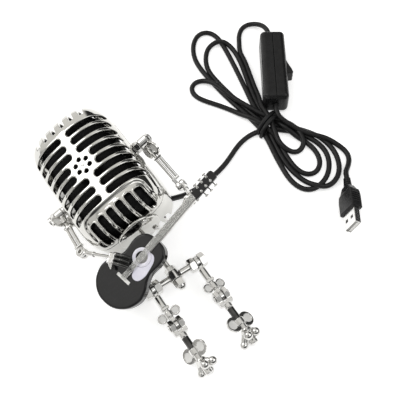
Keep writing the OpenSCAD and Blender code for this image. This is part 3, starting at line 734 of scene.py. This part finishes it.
def left_cap(x, y, z):
    y = y - SV
    s = hexa(y, z, x, 6.0, 38.6, 39.8)
    t = np.clip((x - 39.7) / 1.2, 0, 1)
    s = smin(s, rb2(hyp(y, z) - (2.7 - 1.1 * t * t), span(x, 39.2, 40.9), 0.5), 0.2)
    return smax(s, -rb2(hyp(y, z) - 2.02, x - 39.4, 0.01), 0.05)


def right_cap(x, y, z):
    y = y - SV
    s = hexa(y, z, x, 6.8, -39.9, -37.3)
    s = smin(s, cyl(y, z, x, 2.6, -40.8, -39.5, 0.1), 0.15)
    s = smin(s, cyl(y, z, x, 3.3, -42.8, -40.3, 0.6), 0.15)
    return smax(s, -rb2(hyp(y, z) - 2.02, -42.0 - x, 0.01), 0.05)


solid("shoulder_stud_pair", [(left_stud, (23, -3, -4), (39.5, 5, 4)), (right_stud, (-42.1, -3, -4), (-23, 5, 4))], None, None, 0.24, MIC, FITTING, ["shoulder_studs"])
solid("shoulder_cap_pair", [(left_cap, (38.5, -3, -4), (41.0, 5, 4)), (right_cap, (-42.9, -3, -4), (-37.2, 5, 4))], None, None, 0.2, MIC, FITTING, ["shoulder_caps"])

GLAND = MIC @ tr(20.5, -27.5, -24) @ rot("y", 143.13)
plain("cord_gland_sleeve", turned([(0, -4), (2.4, -4), (2.6, -3.8), (2.6, 1), (2.75, 1.2), (2.75, 1.9), (2.45, 2.1), (2.45, 2.6), (2.6, 2.8), (2.5, 3.4), (2.25, 3.6), (2.25, 4.1), (2.3, 4.3), (2.1, 5), (0, 5)], 36), GLAND, SHELL, ["cord_gland"])

# ---------- hips ----------
def thread(r, y0, y1, pitch=0.7, depth=0.28, sides=36):
    rows = int((y1 - y0) / pitch * 8)
    y = np.linspace(y0, y1, rows + 1)
    k = np.arange(sides) * 2 * math.pi / sides
    ph = (y[:, None] / pitch - k[None] / (2 * math.pi)) % 1.0
    rr = r - depth * np.abs(2 * ph - 1) ** 1.3
    V = np.stack([rr * np.sin(k)[None], np.broadcast_to(y[:, None], rr.shape), rr * np.cos(k)[None]], 2).reshape(-1, 3)
    i, j = np.meshgrid(np.arange(rows), np.arange(sides), indexing="ij")
    i, j = i.ravel(), j.ravel()
    j2 = (j + 1) % sides
    Q = np.stack([i * sides + j, i * sides + j2, (i + 1) * sides + j2, (i + 1) * sides + j], 1)
    return V, [Q, np.arange(sides)[::-1][None], (np.arange(sides) + rows * sides)[None]]


plain("hip_bolt_thread", merged([thread(2.0, -6.4, 35.9), turned(cap_profile(3.2, 35.9, 36.7, 0.2), 36, "y")]), HIPS, THREAD, ["hip_bolt"], 60)


def bored(f, r, axis):
    def g(x, y, z):
        q = hyp(y, z) if axis == "x" else hyp(x, z) if axis == "y" else hyp(x, y)
        return smax(f(x, y, z), r - q, 0.12)

    return g


solid("hip_lock_nut_hex", bored(lambda x, y, z: hexa(z, x, y, 7.0, 3.1, 6.3), 2.02, "y"), (-4.2, 3, -3.7), (4.2, 6.4, 3.7), 0.22, HIPS, FITTING, ["hip_lock_nut"])
solid(
    "acorn_nut_dome",
    lambda x, y, z: smax(smin(hexa(z, x, y, 6.4, -7.4, -3.1), ball(x, y, z, (0, -7.2, 0), 2.9), 0.3), -rb2(hyp(x, z) - 2.02, -6.6 - y, 0.01), 0.08),
    (-3.9, -10.3, -3.4), (3.9, -3, 3.4), 0.22, HIPS, FITTING, ["acorn_nut"],
)
solid(
    "hip_bar_hub",
    bored(lambda x, y, z: smin(cyl(y, z, x, 2.3, -22.2, 22.2, 0.5), cyl(x, z, y, 4.0, -2.9, 2.9, 0.4), 0.9), 2.04, "y"),
    (-22.4, -3.1, -4.2), (22.4, 3.1, 4.2), 0.26, HIPS, FITTING, ["hip_bar"],
)
solid(
    "hip_nut_set",
    [
        (bored((lambda c: lambda x, y, z: hexa(y, z, x - c, 8.2, -2.1, 2.1))(s * 16.3 + e), 2.32, "x"), (s * 16.3 + e - 2.2, -4.3, -4.9), (s * 16.3 + e + 2.2, 4.3, 4.9))
        for s in (-1, 1)
        for e in (-3.6, 3.6)
    ],
    None, None, 0.22, HIPS, FITTING, ["hip_nuts"],
)


# ---------- legs ----------
def thigh(x, y, z):
    s = cyl(y, z, x, 4.3, -1.3, 1.3, 0.35)
    s = smin(s, bar(x, y, z, (-1.2, -5.6, -2.2), (1.2, -3.4, 2.2), 0.3), 0.4)
    s = smin(s, cyl(x, z, y, 2.3, -13.2, -5.1, 0.35), 0.2)
    s = smin(s, cyl(x, z, y, 1.8, -21.3, -5.2, 0.1), 0.15)
    s = smin(s, bar(x, y, z, (-2.6, -15.1, -2.4), (2.6, -13.2, 2.4), 0.45), 0.2)
    s = smin(s, bar(x, y, z, (-1.2, -26, -2.2), (1.2, -20.8, 2.2), 0.3), 0.3)
    s = smin(s, cyl(y + 26, z, x, 3.2, -1.2, 1.2, 0.3), 0.3)
    s = smax(s, 2.34 - hyp(y, z), 0.12)
    return smax(s, 1.54 - hyp(y + 26, z), 0.12)


def wing(y0, y1, bore, hub, er, ec):
    ym = 0.5 * (y0 + y1)

    def f(x, y, z):
        s = cyl(x, z, y, hub, y0, y1, 0.3)
        u = np.abs(x)
        ear = cyl(u - ec, y - ym, z, er, -0.85, 0.85, 0.4)
        rd = 0.5 * (ec + er - 0.9 - hub)
        dish = rb2(hyp(u - hub - rd, y - ym) - rd, 0.42 - np.abs(z), 0.18)
        s = smin(s, smax(ear, -dish, 0.25), 0.4)
        return smax(s, bore + 0.02 - hyp(x, z), 0.12)

    return f


def wing_piece(name, node, m, y0, y1, bore, hub, er, ec, turn):
    r = ec + er + 0.1
    e = max(er, (y1 - y0) / 2) + 0.1
    ym = 0.5 * (y0 + y1)
    # painted bright reflection: the flat dish faces of the ears get the pale satin colour instead of chrome
    solid(name, wing(y0, y1, bore, hub, er, ec), (-r, ym - e, -hub - 0.1), (r, ym + e, hub + 0.1), 0.2, m @ rot("y", turn), [FITTING, PAINTED_BRIGHT_REFLECTION], [node], lambda c, n: ((np.abs(c[:, 2]) < 0.6) & (np.abs(n[:, 2]) > 0.75) & (np.abs(c[:, 0]) > hub)).astype(np.int32))


def shin(x, y, z):
    u = np.abs(x)
    s = smin(hexa(y, z, u, 7.8, 1.4, 4.4, 0.2), bar(u, y, z, (1.4, -5.4, -2.4), (4.4, 0, 2.4), 0.35), 0.25)
    s = smin(s, bar(x, y, z, (-4.4, -6.4, -2.4), (4.4, -4.2, 2.4), 0.35), 0.4)
    s = smin(s, cyl(x, z, y, 2.7, -9.0, -6.0, 0.35), 0.4)
    s = smin(s, cyl(x, z, y, 2.2, -27.6, -6.2, 0.3), 0.2)
    return smax(s, 1.5 - hyp(y, z), 0.12)


def knee_pin(x, y, z):
    s = cyl(y, z, x, 1.48, -5.0, 5.0, 0.05)
    u = np.abs(x)
    head = smax(rb2(hyp(y, z) - 2.3, span(u, 4.45, 5.2), 0.35), -rb2(hyp(y, z) - 0.8, 4.95 - u, 0.05), 0.1)
    return np.minimum(s, head)


FS, FC = math.sin(math.radians(22)), math.cos(math.radians(22))


def foot(sg):
    lz = -(5.26 - (3.2 - sg) * FS) / FC

    def f(x, y, z):
        s = cyl(x, z, y, 3.5, -55.0, -50.6, 0.5)
        s = smin(s, cyl(x, z, y, 2.5, -61.0, -54.4, 0.7), 0.4)
        for e in (-1, 1):
            up = cap(x, y, z, (e * 1.2, -53, 1), (e * 3 - sg, -55.9, 4.2), 2.4, 2.2)
            up = smin(up, ball(x, y, z, (e * 3 - sg, -55.9, 4.2), 2.8), 0.3)
            lo = cap(x, y, z, (e * 1.2, -53, -1), (e * 3.2 - sg, -58, lz), 2.3, 2.1)
            lo = smin(lo, ball(x, y, z, (e * 3.2 - sg, -58, lz), 2.58), 0.3)
            s = smin(s, np.minimum(up, lo), 0.3)
        return smax(s, -rb2(hyp(x, z) - 2.26, -54.2 - y, 0.01), 0.15)

    return f


# painted dark reflection: the middle of each shin rod gets near-black metal in place of the dark room it would mirror
def rod_dark_reflection_paint(c, n):
    return ((span(c[:, 1], -18.4, -9.3) < 0) & (hyp(c[:, 0], c[:, 2]) < 2.6)).astype(np.int32)


for s, side, kt, at in ((1, "left", 20, 22), (-1, "right", -20, -48)):
    solid(side + "_thigh_link", thigh, (-2.8, -29.4, -4.5), (2.8, 4.5, 4.5), 0.24, LEG[s], FITTING, [side + "_thigh"])
    wing_piece(side + "_knee_wings", side + "_knee_wing_nut", LEG[s], -20.0, -16.6, 1.8, 2.7, 3.1, 4.8, kt)
    solid(side + "_shin_fork", shin, (-4.6, -27.8, -4.7), (4.6, 4.2, 4.7), 0.24, SHIN[s], [FITTING, PAINTED_DARK_REFLECTION], [side + "_shin"], rod_dark_reflection_paint)
    solid(side + "_knee_pin_set", knee_pin, (-5.3, -2.4, -2.4), (5.3, 2.4, 2.4), 0.2, SHIN[s], FITTING, [side + "_knee_pin"])
    wing_piece(side + "_ankle_wings", side + "_ankle_wing_nut", SHIN[s], -21.4, -17.4, 2.2, 3.2, 4.9, 4.8, at)
    solid(side + "_foot_toes", foot(s), (-7.0, -61.1, -7.6), (7.0, -50.2, 7.2), 0.24, LEG[s] @ rot("y", 22), FITTING, [side + "_foot"])


# ---------- arms ----------
def upper_arm(s):
    def f(x, y, z):
        b = 3.0 if s > 0 else 2.6
        d = cyl(y, z, x, 3.6, -b, b, 0.4)
        d = smin(d, cyl(x, z, y, 1.7, -12.6, -3, 0.2), 0.4)
        d = smin(d, bar(x, y, z, (-2.8, -14, -1.5), (2.8, -12.3, 1.5), 0.5), 0.3)
        d = smin(d, cyl(np.abs(x) - 1.3, z, y, 1.1, -30.6, -13.2, 0.1), 0.25)
        d = smin(d, bar(x, y, z, (-2.8, -31, -1.5), (2.8, -29.4, 1.5), 0.5), 0.3)
        if s > 0:
            d = smin(d, bar(x, y, z, (-2.6, -35.8, -1.8), (-0.2, -29.4, 1.8), 0.35), 0.3)
            d = smin(d, cyl(y + 35.8, z, x, 3.2, -2.6, -0.2, 0.35), 0.3)
            d = smax(d, 1.72 - hyp(y + 35.8, z), 0.12)
        else:
            d = smin(d, bar(x, y, z, (-1.8, -35.8, -2.6), (1.8, -29.4, -0.2), 0.35), 0.3)
            d = smin(d, cyl(x, y + 35.8, z, 3.2, -2.6, -0.2, 0.35), 0.3)
            d = smax(d, 1.72 - hyp(x, y + 35.8), 0.12)
        return smax(d, 2.04 - hyp(y, z), 0.12)

    return f


def rivet(x, y, z):
    s = np.minimum(cyl(x, y, z, 1.7, -2.7, 2.7, 0.05), cyl(x, y, z, 2.4, -3.4, -2.7, 0.25))
    s = np.minimum(s, cyl(x, y, z, 2.3, 2.6, 3.2, 0.28))
    return smax(s, -rb2(hyp(x, y) - 1.1, 0.6 - z, 0.05), 0.3)


def forearm(x, y, z):
    s = cyl(x, y, z, 3.2, 0.2, 2.6, 0.35)
    w = z - 1.4
    s = smin(s, cyl(x, w, y, 1.05, -9, -2.4, 0.1), 0.3)
    s = smin(s, cyl(x, w, y, 1.5, -9.4, -4.4, 0.35), 0.2)
    s = smin(s, cyl(x, w, y, 1.7, -10.4, -9, 0.35), 0.15)
    s = smin(s, cyl(x, w, y, 1.15, -22, -10, 0.1), 0.15)
    return smax(s, 1.76 - hyp(x, y), 0.12)


def hand(curl):
    c, e = math.cos(math.radians(curl)), math.sin(math.radians(curl))

    def f(x, y, z):
        s = bar(x, y, z, (-3.9, -4.4, -1.4), (3.0, -0.8, 1.4), 0.7)
        for q in (-2.7, 0.0, 2.7):
            s1 = cap(x, y, z, (q, -4.0, 0), (q, -8.6, 0), 1.2)
            s2 = cap(x, y, z, (q, -8.6, 0), (q, -8.6 - 4.6 * c, -4.6 * e), 1.15, 1.1)
            s = smin(s, smin(s1, s2, 0.25), 0.25)
        s = smin(s, cap(x, y, z, (-3, -2.4, 0), (-5.6, -4.6, -0.6), 1.1), 0.4)
        return smax(s, -rb2(hyp(x, z) - 1.15, -2.0 - y, 0.01), 0.1)

    return f


for s, side, y0, hub, er, ec, turn, curl in ((1, "left", -9.0, 2.8, 4.6, 5.4, -60, 12), (-1, "right", -9.2, 2.6, 4.2, 4.8, 58, 22)):
    solid(side + "_upper_arm_link", upper_arm(s), (-3.4, -39.2, -3.8), (3.4, 3.8, 3.8), 0.24, ARM[s], FITTING, [side + "_upper_arm"])
    wing_piece(side + "_arm_wings", side + "_arm_wing_nut", ARM[s], y0, y0 + 4, 1.7, hub, er, ec, turn)
    elbow = ARM[s] @ tr(0, -35.8, 0)
    solid(side + "_elbow_rivet_eyelet", rivet, (-2.5, -2.5, -3.5), (2.5, 2.5, 3.3), 0.2, elbow @ rot("y", 90) if s > 0 else elbow, FITTING, [side + "_elbow_rivet"])
    solid(side + "_forearm_rod", forearm, (-3.3, -22.1, 0), (3.3, 3.3, 3.2), 0.22, FORE[s] @ rot("y", 90) if s > 0 else FORE[s], FITTING, [side + "_forearm"])
    # painted dark reflection: the right hand's fingers get near-black metal in place of the black guitar they would
    # mirror
    solid(side + "_hand_fingers", hand(curl), (-6.9, -14.5, -3.6), (4.1, -0.7, 1.6), 0.22, HAND[s], [FITTING, PAINTED_DARK_REFLECTION], [side + "_hand"], (lambda c, n: (c[:, 1] < -4.8).astype(np.int32)) if s < 0 else None)

# ---------- guitar ----------
HALF = [(-34.6, 0), (-34, 4.9), (-31.4, 10), (-26.6, 14.3), (-19.8, 16.4), (-13.2, 15), (-8.4, 12.2), (-4.6, 10.8), (-0.6, 10.9), (3.6, 11.3), (8, 10.6), (11.4, 8.4), (13.2, 5), (13.7, 0)]


def spline2(pts, n, closed=False):
    p = np.asarray(pts, float)
    m = len(p)
    out = []
    for i in range(m if closed else m - 1):
        g = (lambda k: p[k % m]) if closed else (lambda k: p[min(max(k, 0), m - 1)])
        a, b, c, d = g(i - 1), g(i), g(i + 1), g(i + 2)
        for k in range(n):
            t = k / n
            out.append(b + 0.5 * t * ((c - a) + t * ((2 * a - 5 * b + 4 * c - d) + t * (3 * (b - c) + d - a))))
    if not closed:
        out.append(p[-1])
    return np.array(out)


class Flat:
    """Signed distance to a closed outline, on a fine grid, read with bilinear steps."""

    def __init__(self, poly, h=0.2, pad=3.0):
        p = np.asarray(poly, float)
        self.lo = p.min(0) - pad
        n = np.ceil((p.max(0) + pad - self.lo) / h).astype(int) + 2
        self.h = h
        x, y = np.meshgrid(self.lo[0] + h * np.arange(n[0]), self.lo[1] + h * np.arange(n[1]), indexing="ij")
        best = np.full(x.shape, 1e9)
        inside = np.zeros(x.shape, bool)
        for a, b in zip(p, np.roll(p, -1, 0)):
            d = b - a
            t = np.clip(((x - a[0]) * d[0] + (y - a[1]) * d[1]) / max(d @ d, 1e-12), 0, 1)
            best = np.minimum(best, (x - a[0] - t * d[0]) ** 2 + (y - a[1] - t * d[1]) ** 2)
            cross = (a[1] > y) != (b[1] > y)
            if a[1] != b[1]:
                inside ^= cross & (x < (b[0] - a[0]) * (y - a[1]) / (b[1] - a[1]) + a[0])
        self.g = np.where(inside, -1, 1) * np.sqrt(best)

    def __call__(self, x, y):
        u, v = (x - self.lo[0]) / self.h, (y - self.lo[1]) / self.h
        i = np.clip(np.floor(u).astype(int), 0, self.g.shape[0] - 2)
        j = np.clip(np.floor(v).astype(int), 0, self.g.shape[1] - 2)
        a, b = np.clip(u - i, 0, 1), np.clip(v - j, 0, 1)
        g = self.g
        return g[i, j] * (1 - a) * (1 - b) + g[i + 1, j] * a * (1 - b) + g[i, j + 1] * (1 - a) * b + g[i + 1, j + 1] * a * b


half = spline2(HALF, 10)
OUTLINE = Flat(np.concatenate([half, (half * (1, -1))[-2:0:-1]]), 0.15)


def guitar_body(x, y, z):
    d = OUTLINE(x, y)
    s = rb2(d, span(z, -8.0, 0.0), 1.3)
    return smax(s, -rb2(hyp(x, y) - 3.7, -4.0 - z, 0.05), 0.25)


def top_paint(c, n):
    d = OUTLINE(c[:, 0], c[:, 1])
    return np.where((c[:, 2] < -3.4) & (hyp(c[:, 0], c[:, 1]) < 3.7), 2, (n[:, 2] > 0.97) & (d < -1.5) & (c[:, 2] > -0.4)).astype(np.int32)


solid("guitar_body_shell", guitar_body, (-34.8, -16.6, -8.1), (13.9, 16.6, 0.1), 0.4, GUITAR, [GLOSS, TOP, FRET], ["guitar_body"], top_paint)
solid("guitar_neck_bar", lambda x, y, z: rb2(span(x, 14, 46), rb2(np.abs(y) - 2.5, span(z, -3, 0), 0.9), 0.2), (13.9, -2.6, -3.1), (46.1, 2.6, 0.1), 0.3, GUITAR, FITTING, ["guitar_neck"])
FRETS = [46.0 - 40.0 * (1 - 2 ** (-k / 12)) * 1.35 for k in range(1, 19)]


def fretboard(x, y, z):
    s = bar(x, y, z, (6, -2.3, 0), (46.4, 2.3, 0.72), 0.15)
    for q in FRETS:
        if q > 7:
            s = smin(s, cap(x, y, z, (q, -2.2, 0.68), (q, 2.2, 0.68), 0.18), 0.06)
    return s


solid("fretboard_frets", fretboard, (5.9, -2.5, -0.1), (46.5, 2.5, 0.95), 0.22, GUITAR, FRET, ["fretboard"])
HEAD = Flat([(46, -2.5), (46.8, -2.6), (48, -2.8), (63.0, -3.0), (63.8, -2.9), (64.7, -2.2), (64.9, 0), (64.7, 2.2), (63.8, 2.9), (63.0, 3.0), (48, 2.8), (46.8, 2.6), (46, 2.5)], 0.15)


def head_paint(c, n):
    return ((n[:, 2] > 0.97) & (c[:, 2] > -0.3)).astype(np.int32)


solid("headstock_plate", lambda x, y, z: rb2(HEAD(x, y), span(z, -2.6, 0), 0.5), (45.9, -3.9, -2.7), (65.1, 3.9, 0.1), 0.25, GUITAR, [GLOSS, GLOSS], ["headstock"], head_paint)


def peg(cx, sgn):
    def f(x, y, z):
        u = x - cx
        s = cyl(u, y - sgn * 1.7, z, 0.52, -4.2, 1.6, 0.2)
        s = np.minimum(s, cyl(u, y - sgn * 1.7, z, 0.85, 0.0, 0.45, 0.15))
        s = smin(s, cyl(u, z + 3.6, y * sgn, 0.42, 1.3, 5.2, 0.1), 0.2)
        knob = np.sqrt((u / 1.3) ** 2 + ((z + 3.6) / 1.3) ** 2 + ((y - sgn * 5.0) / 0.7) ** 2)
        return smin(s, (knob - 1) * 0.75, 0.2)

    return f


solid("tuning_peg_set", [(peg(x, s), (x - 1.5, min(s * 0.7, s * 5.8), -5.1), (x + 1.5, max(s * 0.7, s * 5.8), 1.7)) for x in (52, 56, 60) for s in (-1, 1)], None, None, 0.2, GUITAR, FITTING, ["tuning_pegs"])
solid("guitar_bridge_bar", lambda x, y, z: smin(bar(x, y, z, (-17.4, -5, 0), (-15.4, 5, 0.8), 0.35), cap(x, y, z, (-16.2, -3.6, 0.8), (-16.2, 3.6, 0.8), 0.3), 0.2), (-17.6, -5.2, -0.1), (-15.2, 5.2, 1.2), 0.2, GUITAR, WHITE, ["guitar_bridge"])
strings = [sweep([(-16.6, k * 0.62, 1.25), (10, k * 0.62, 1.22), (47, k * 0.62, 1.15)], 0.17 + 0.012 * abs(k + 2.5), 8) for k in np.arange(-2.5, 2.6)]
plain("guitar_string_set", merged(strings), GUITAR, STRING, ["guitar_strings"])
GUARD = Flat(spline2([(-11.6, -2.6), (-12.8, -5.2), (-11.4, -8.0), (-7, -9.2), (-2, -8.6), (2.4, -7.6), (5.2, -5.4), (5.4, -2.6), (4.4, -1.0), (-4, -1.0), (-8, -1.4)], 6, True), 0.12)
solid("pickguard_plate", lambda x, y, z: smax(rb2(GUARD(x, y), span(z, 0, 0.4), 0.15), 5.95 - hyp(x, y), 0.1), (-13, -9.5, -0.1), (5.8, -0.6, 0.5), 0.2, GUITAR, LAVENDER, ["pickguard"])
plain("rosette_ring", turned([(3.7, 0.0), (5.8, 0.0), (5.8, 0.2), (5.65, 0.3), (5.0, 0.3), (4.95, 0.22), (4.8, 0.22), (4.75, 0.3), (3.85, 0.3), (3.7, 0.2), (3.7, 0.0)], 64), GUITAR, TRIM, ["rosette"])

# ---------- switch ----------
def switch_box(x, y, z, i):
    q = rb2(np.abs(x) - (8.7 - i), np.abs(z - 9) - (9 - i), 3.4 - i)
    return rb2(q, np.abs(y) - (30 - i), 3.2 - i * 0.9)


def switch_cover(x, y, z):
    s = smax(switch_box(x, y, z, 0), -switch_box(x, y, z, 1.6), 0.2)
    s = smax(s, 0.06 - x, 0.35)
    return smax(s, -rb2(rb2(span(y, -7.6, 19.6), span(z, 4, 14), 1.0), 4 - x, 0.01), 0.35)


def switch_base(x, y, z):
    s = smax(switch_box(x, y, z, 0), -switch_box(x, y, z, 1.6), 0.2)
    return smax(s, x + 0.06, 0.35)


solid("switch_cover_half", switch_cover, (-0.2, -30.1, -0.1), (8.8, 30.1, 18.1), 0.36, SWITCH, SHELL, ["switch_cover"])
solid("switch_base_half", switch_base, (-8.8, -30.1, -0.1), (0.2, 30.1, 18.1), 0.36, SWITCH, SHELL, ["switch_base"])
KEY = Flat([(-1.6, -12), (3.6, -12.8), (4.6, -12.4), (4.9, -11.4), (4.6, -9), (3.3, -4), (2.4, 0), (3.1, 6), (4, 12), (3.4, 12.6), (-1.6, 12)], 0.15)


def rocker(x, y, z):
    s = rb2(KEY(x, y), np.abs(z) - 4.6, 0.5)
    s = np.minimum(s, cyl(x, y, z, 2.4, -4.6, 4.6, 0.1))
    return smax(s, 1.2 - hyp(x, y), 0.05)


solid("switch_rocker_key", rocker, (-2.6, -13, -4.7), (5.1, 12.8, 4.7), 0.28, SWITCH @ tr(6.4, 6, 9) @ rot("z", 10), ROCKER, ["switch_rocker"])

# ---------- plug ----------
def plug_housing(x, y, z):
    t = np.clip((y - 9) / 6.0, 0, 1)
    s = rb2(rb2(np.abs(x) - (7.8 - 0.7 * t * t), np.abs(z) - (4.0 - 0.3 * t * t), 1.6), span(y, 0, 15), 0.6)
    grip = rb2(np.abs(np.mod(y - 4.0, 1.8) - 0.9) - 0.3, np.maximum(7.1 - np.abs(x), span(y, 3.6, 12.8)), 0.1)
    s = smax(s, -grip, 0.25)
    w = np.clip((y - 14) / 6.5, 0, 1)
    neck = rb2(rb2(np.abs(x) - (6.8 - 3.2 * w), np.abs(z) - (3.6 - 0.5 * w), 1.6), span(y, 13, 20.4), 0.8)
    s = smin(s, neck, 0.8)
    u = np.clip((y - 19) / 9.0, 0, 1)
    r = hyp(x, z)
    rel = rb2(r - (2.9 - 0.55 * u), span(y, 18, 28), 0.25)
    ring = rb2(np.abs(np.mod(y - 20.4, 2.0) - 1.0) - 0.35, np.maximum(2.05 - r, span(y, 21, 27.4)), 0.1)
    s = smin(s, smax(rel, -ring, 0.2), 0.5)
    return smax(s, -bar(x, y, z, (-6, -3, -2.25), (6, 10, 2.25), 0.1), 0.1)


solid("plug_housing_mould", plug_housing, (-7.9, -0.1, -4.1), (7.9, 28.1, 4.1), 0.28, PLUG, SHELL, ["plug_housing"])


def plug_shell(x, y, z):
    out = rb2(rb2(np.abs(x) - 6.0, np.abs(z) - 2.25, 0.5), span(y, -12, 6), 0.08)
    inn = rb2(rb2(np.abs(x) - 5.62, np.abs(z) - 1.87, 0.2), span(y, -14, 5), 0.08)
    s = smax(out, -inn, 0.06)
    win = rb2(rb2(np.abs(np.abs(x) - 2.8) - 1.2, span(y, -7.6, -5.2), 0.25), -z, 0.01)
    return smax(s, -win, 0.08)


solid("plug_shell_steel", plug_shell, (-6.1, -12.1, -2.35), (6.1, 6.1, 2.35), 0.17, PLUG, STEEL, ["plug_shell"])

# ---------- pieces that keep their CAD shape ----------
for node, mat in (("lamp_base", LINER), ("led_board", BOARD), ("led_lamp", BULB), ("plug_tongue", WHITE)):
    o = NODES[node]
    o.data.materials.clear()
    o.data.materials.append(mat)
    b = o.modifiers.new("edge", "BEVEL")
    b.width = 0.0002
    b.segments = 2
    b.limit_method = "ANGLE"

LEN_A, LEN_B = length_of(PATH_A) / 1000, length_of(PATH_B) / 1000
tuple(to_row(PATH_A[0]))
tuple(to_row(PATH_B[0]))

# ---------- studio ----------
floor_mat = bpy.data.materials.new("floor_pale")
floor_mat.use_nodes = True
ft = floor_mat.node_tree
fb = ft.nodes["Principled BSDF"]
fn = ft.nodes.new("ShaderNodeTexNoise")
fn.inputs["Scale"].default_value = 6.0
fr = ft.nodes.new("ShaderNodeValToRGB")
fr.color_ramp.elements[0].color = (0.90, 0.90, 0.90, 1)
fr.color_ramp.elements[1].color = (0.93, 0.93, 0.93, 1)
ft.links.new(fn.outputs["Fac"], fr.inputs["Fac"])
ft.links.new(fr.outputs["Color"], fb.inputs["Base Color"])
fb.inputs["Roughness"].default_value = 0.8
fb.inputs["Specular IOR Level"].default_value = 0.1
fb.inputs["Emission Color"].default_value = (1, 1, 1, 1)
fb.inputs["Emission Strength"].default_value = 0.5
fm = bpy.data.meshes.new("floor")
fm.from_pydata([(-3, -3, 0), (3, -3, 0), (3, 3, 0), (-3, 3, 0)], [], [(0, 1, 2, 3)])
fm.materials.append(floor_mat)
floor = bpy.data.objects.new("floor", fm)
scene.collection.objects.link(floor)

world = bpy.data.worlds.new("studio")
scene.world = world
world.use_nodes = True
wt = world.node_tree
bg = wt.nodes["Background"]
wc = wt.nodes.new("ShaderNodeTexCoord")
ws = wt.nodes.new("ShaderNodeSeparateXYZ")
wt.links.new(wc.outputs["Generated"], ws.inputs["Vector"])


def wmath(op, a, b=None, c=None):
    n = wt.nodes.new("ShaderNodeMath")
    n.operation = op
    for i, q in enumerate((a, b, c)):
        if q is None:
            continue
        if isinstance(q, (int, float)):
            n.inputs[i].default_value = q
        else:
            wt.links.new(q, n.inputs[i])
    return n.outputs["Value"]


def wstep(q, lo, hi):
    n = wt.nodes.new("ShaderNodeMapRange")
    n.interpolation_type = "SMOOTHSTEP"
    n.inputs["From Min"].default_value = lo
    n.inputs["From Max"].default_value = hi
    wt.links.new(q, n.inputs["Value"])
    return n.outputs["Result"]


# a pale sweep behind and above the lamp, with dark sides and a dim room on the camera's side
WX, WY, WZ = (ws.outputs[k] for k in "XYZ")
arch = wmath("SUBTRACT", 1.0, wstep(wmath("ABSOLUTE", wmath("ADD", WX, 0.10)), 0.50, 0.66))
arch = wmath("MULTIPLY", arch, wstep(WY, -0.15, 0.20))
left = wmath("MULTIPLY", wstep(wmath("MULTIPLY", WX, -1.0), 0.64, 0.78), wstep(WZ, 0.02, 0.16))
arch = wmath("MAXIMUM", arch, wmath("MULTIPLY", left, 0.82))
wr = wt.nodes.new("ShaderNodeValToRGB")
els = wr.color_ramp.elements
els[0].position, els[0].color = 0.0, (0.03, 0.03, 0.03, 1)
els[1].position, els[1].color = 1.0, (0.95, 0.95, 0.94, 1)
for pos, v in ((0.50, 0.06), (0.66, 0.32), (0.80, 0.70), (0.90, 0.92)):
    e = els.new(pos)
    e.color = (v, v, v * 0.985, 1)
wt.links.new(wmath("MULTIPLY_ADD", WY, -0.15, WZ), wr.inputs["Fac"])
wx = wt.nodes.new("ShaderNodeMix")
wx.data_type = "RGBA"
wx.inputs["B"].default_value = (1.0, 0.985, 0.95, 1)
wt.links.new(arch, wx.inputs["Factor"])
wt.links.new(wr.outputs["Color"], wx.inputs["A"])
wt.links.new(wx.outputs["Result"], bg.inputs["Color"])
bg.inputs["Strength"].default_value = 0.95


def area(name, at, to, size, watts):
    li = bpy.data.lights.new(name, "AREA")
    li.shape = "RECTANGLE"
    li.size, li.size_y = size
    li.energy = watts
    o = bpy.data.objects.new(name, li)
    scene.collection.objects.link(o)
    o.location = at
    o.rotation_euler = (Vector(to) - Vector(at)).to_track_quat("-Z", "Y").to_euler()
    return o


area("key", (-0.47, 0.57, 0.75), (-0.005, 0.046, 0.03), (0.5, 0.5), 2.4)
area("fill", (0.6, -0.5, 0.8), (0.05, 0.0, 0.0), (0.8, 0.8), 2.5)

def card(name, at, to, size):
    """A dark card for the metal to mirror, which no camera sees."""
    m = bpy.data.materials.new(name)
    m.use_nodes = True
    b = m.node_tree.nodes["Principled BSDF"]
    b.inputs["Base Color"].default_value = (0.008, 0.008, 0.008, 1)
    b.inputs["Roughness"].default_value = 1.0
    b.inputs["Specular IOR Level"].default_value = 0.0
    me = bpy.data.meshes.new(name)
    w, h = size
    me.from_pydata([(-w, -h, 0), (w, -h, 0), (w, h, 0), (-w, h, 0)], [], [(0, 1, 2, 3)])
    me.materials.append(m)
    o = bpy.data.objects.new(name, me)
    scene.collection.objects.link(o)
    o.location = at
    o.rotation_euler = (Vector(to) - Vector(at)).to_track_quat("-Z", "Y").to_euler()
    o.visible_camera = False
    o.visible_shadow = False
    o.visible_diffuse = False
    return o


card("card_camera", Vector(to_row([-149.5, -217.6, 457.3])) * 1.5, aim, (0.16, 0.16))

scene.view_settings.view_transform = "Standard"
scene.view_settings.look = "None"
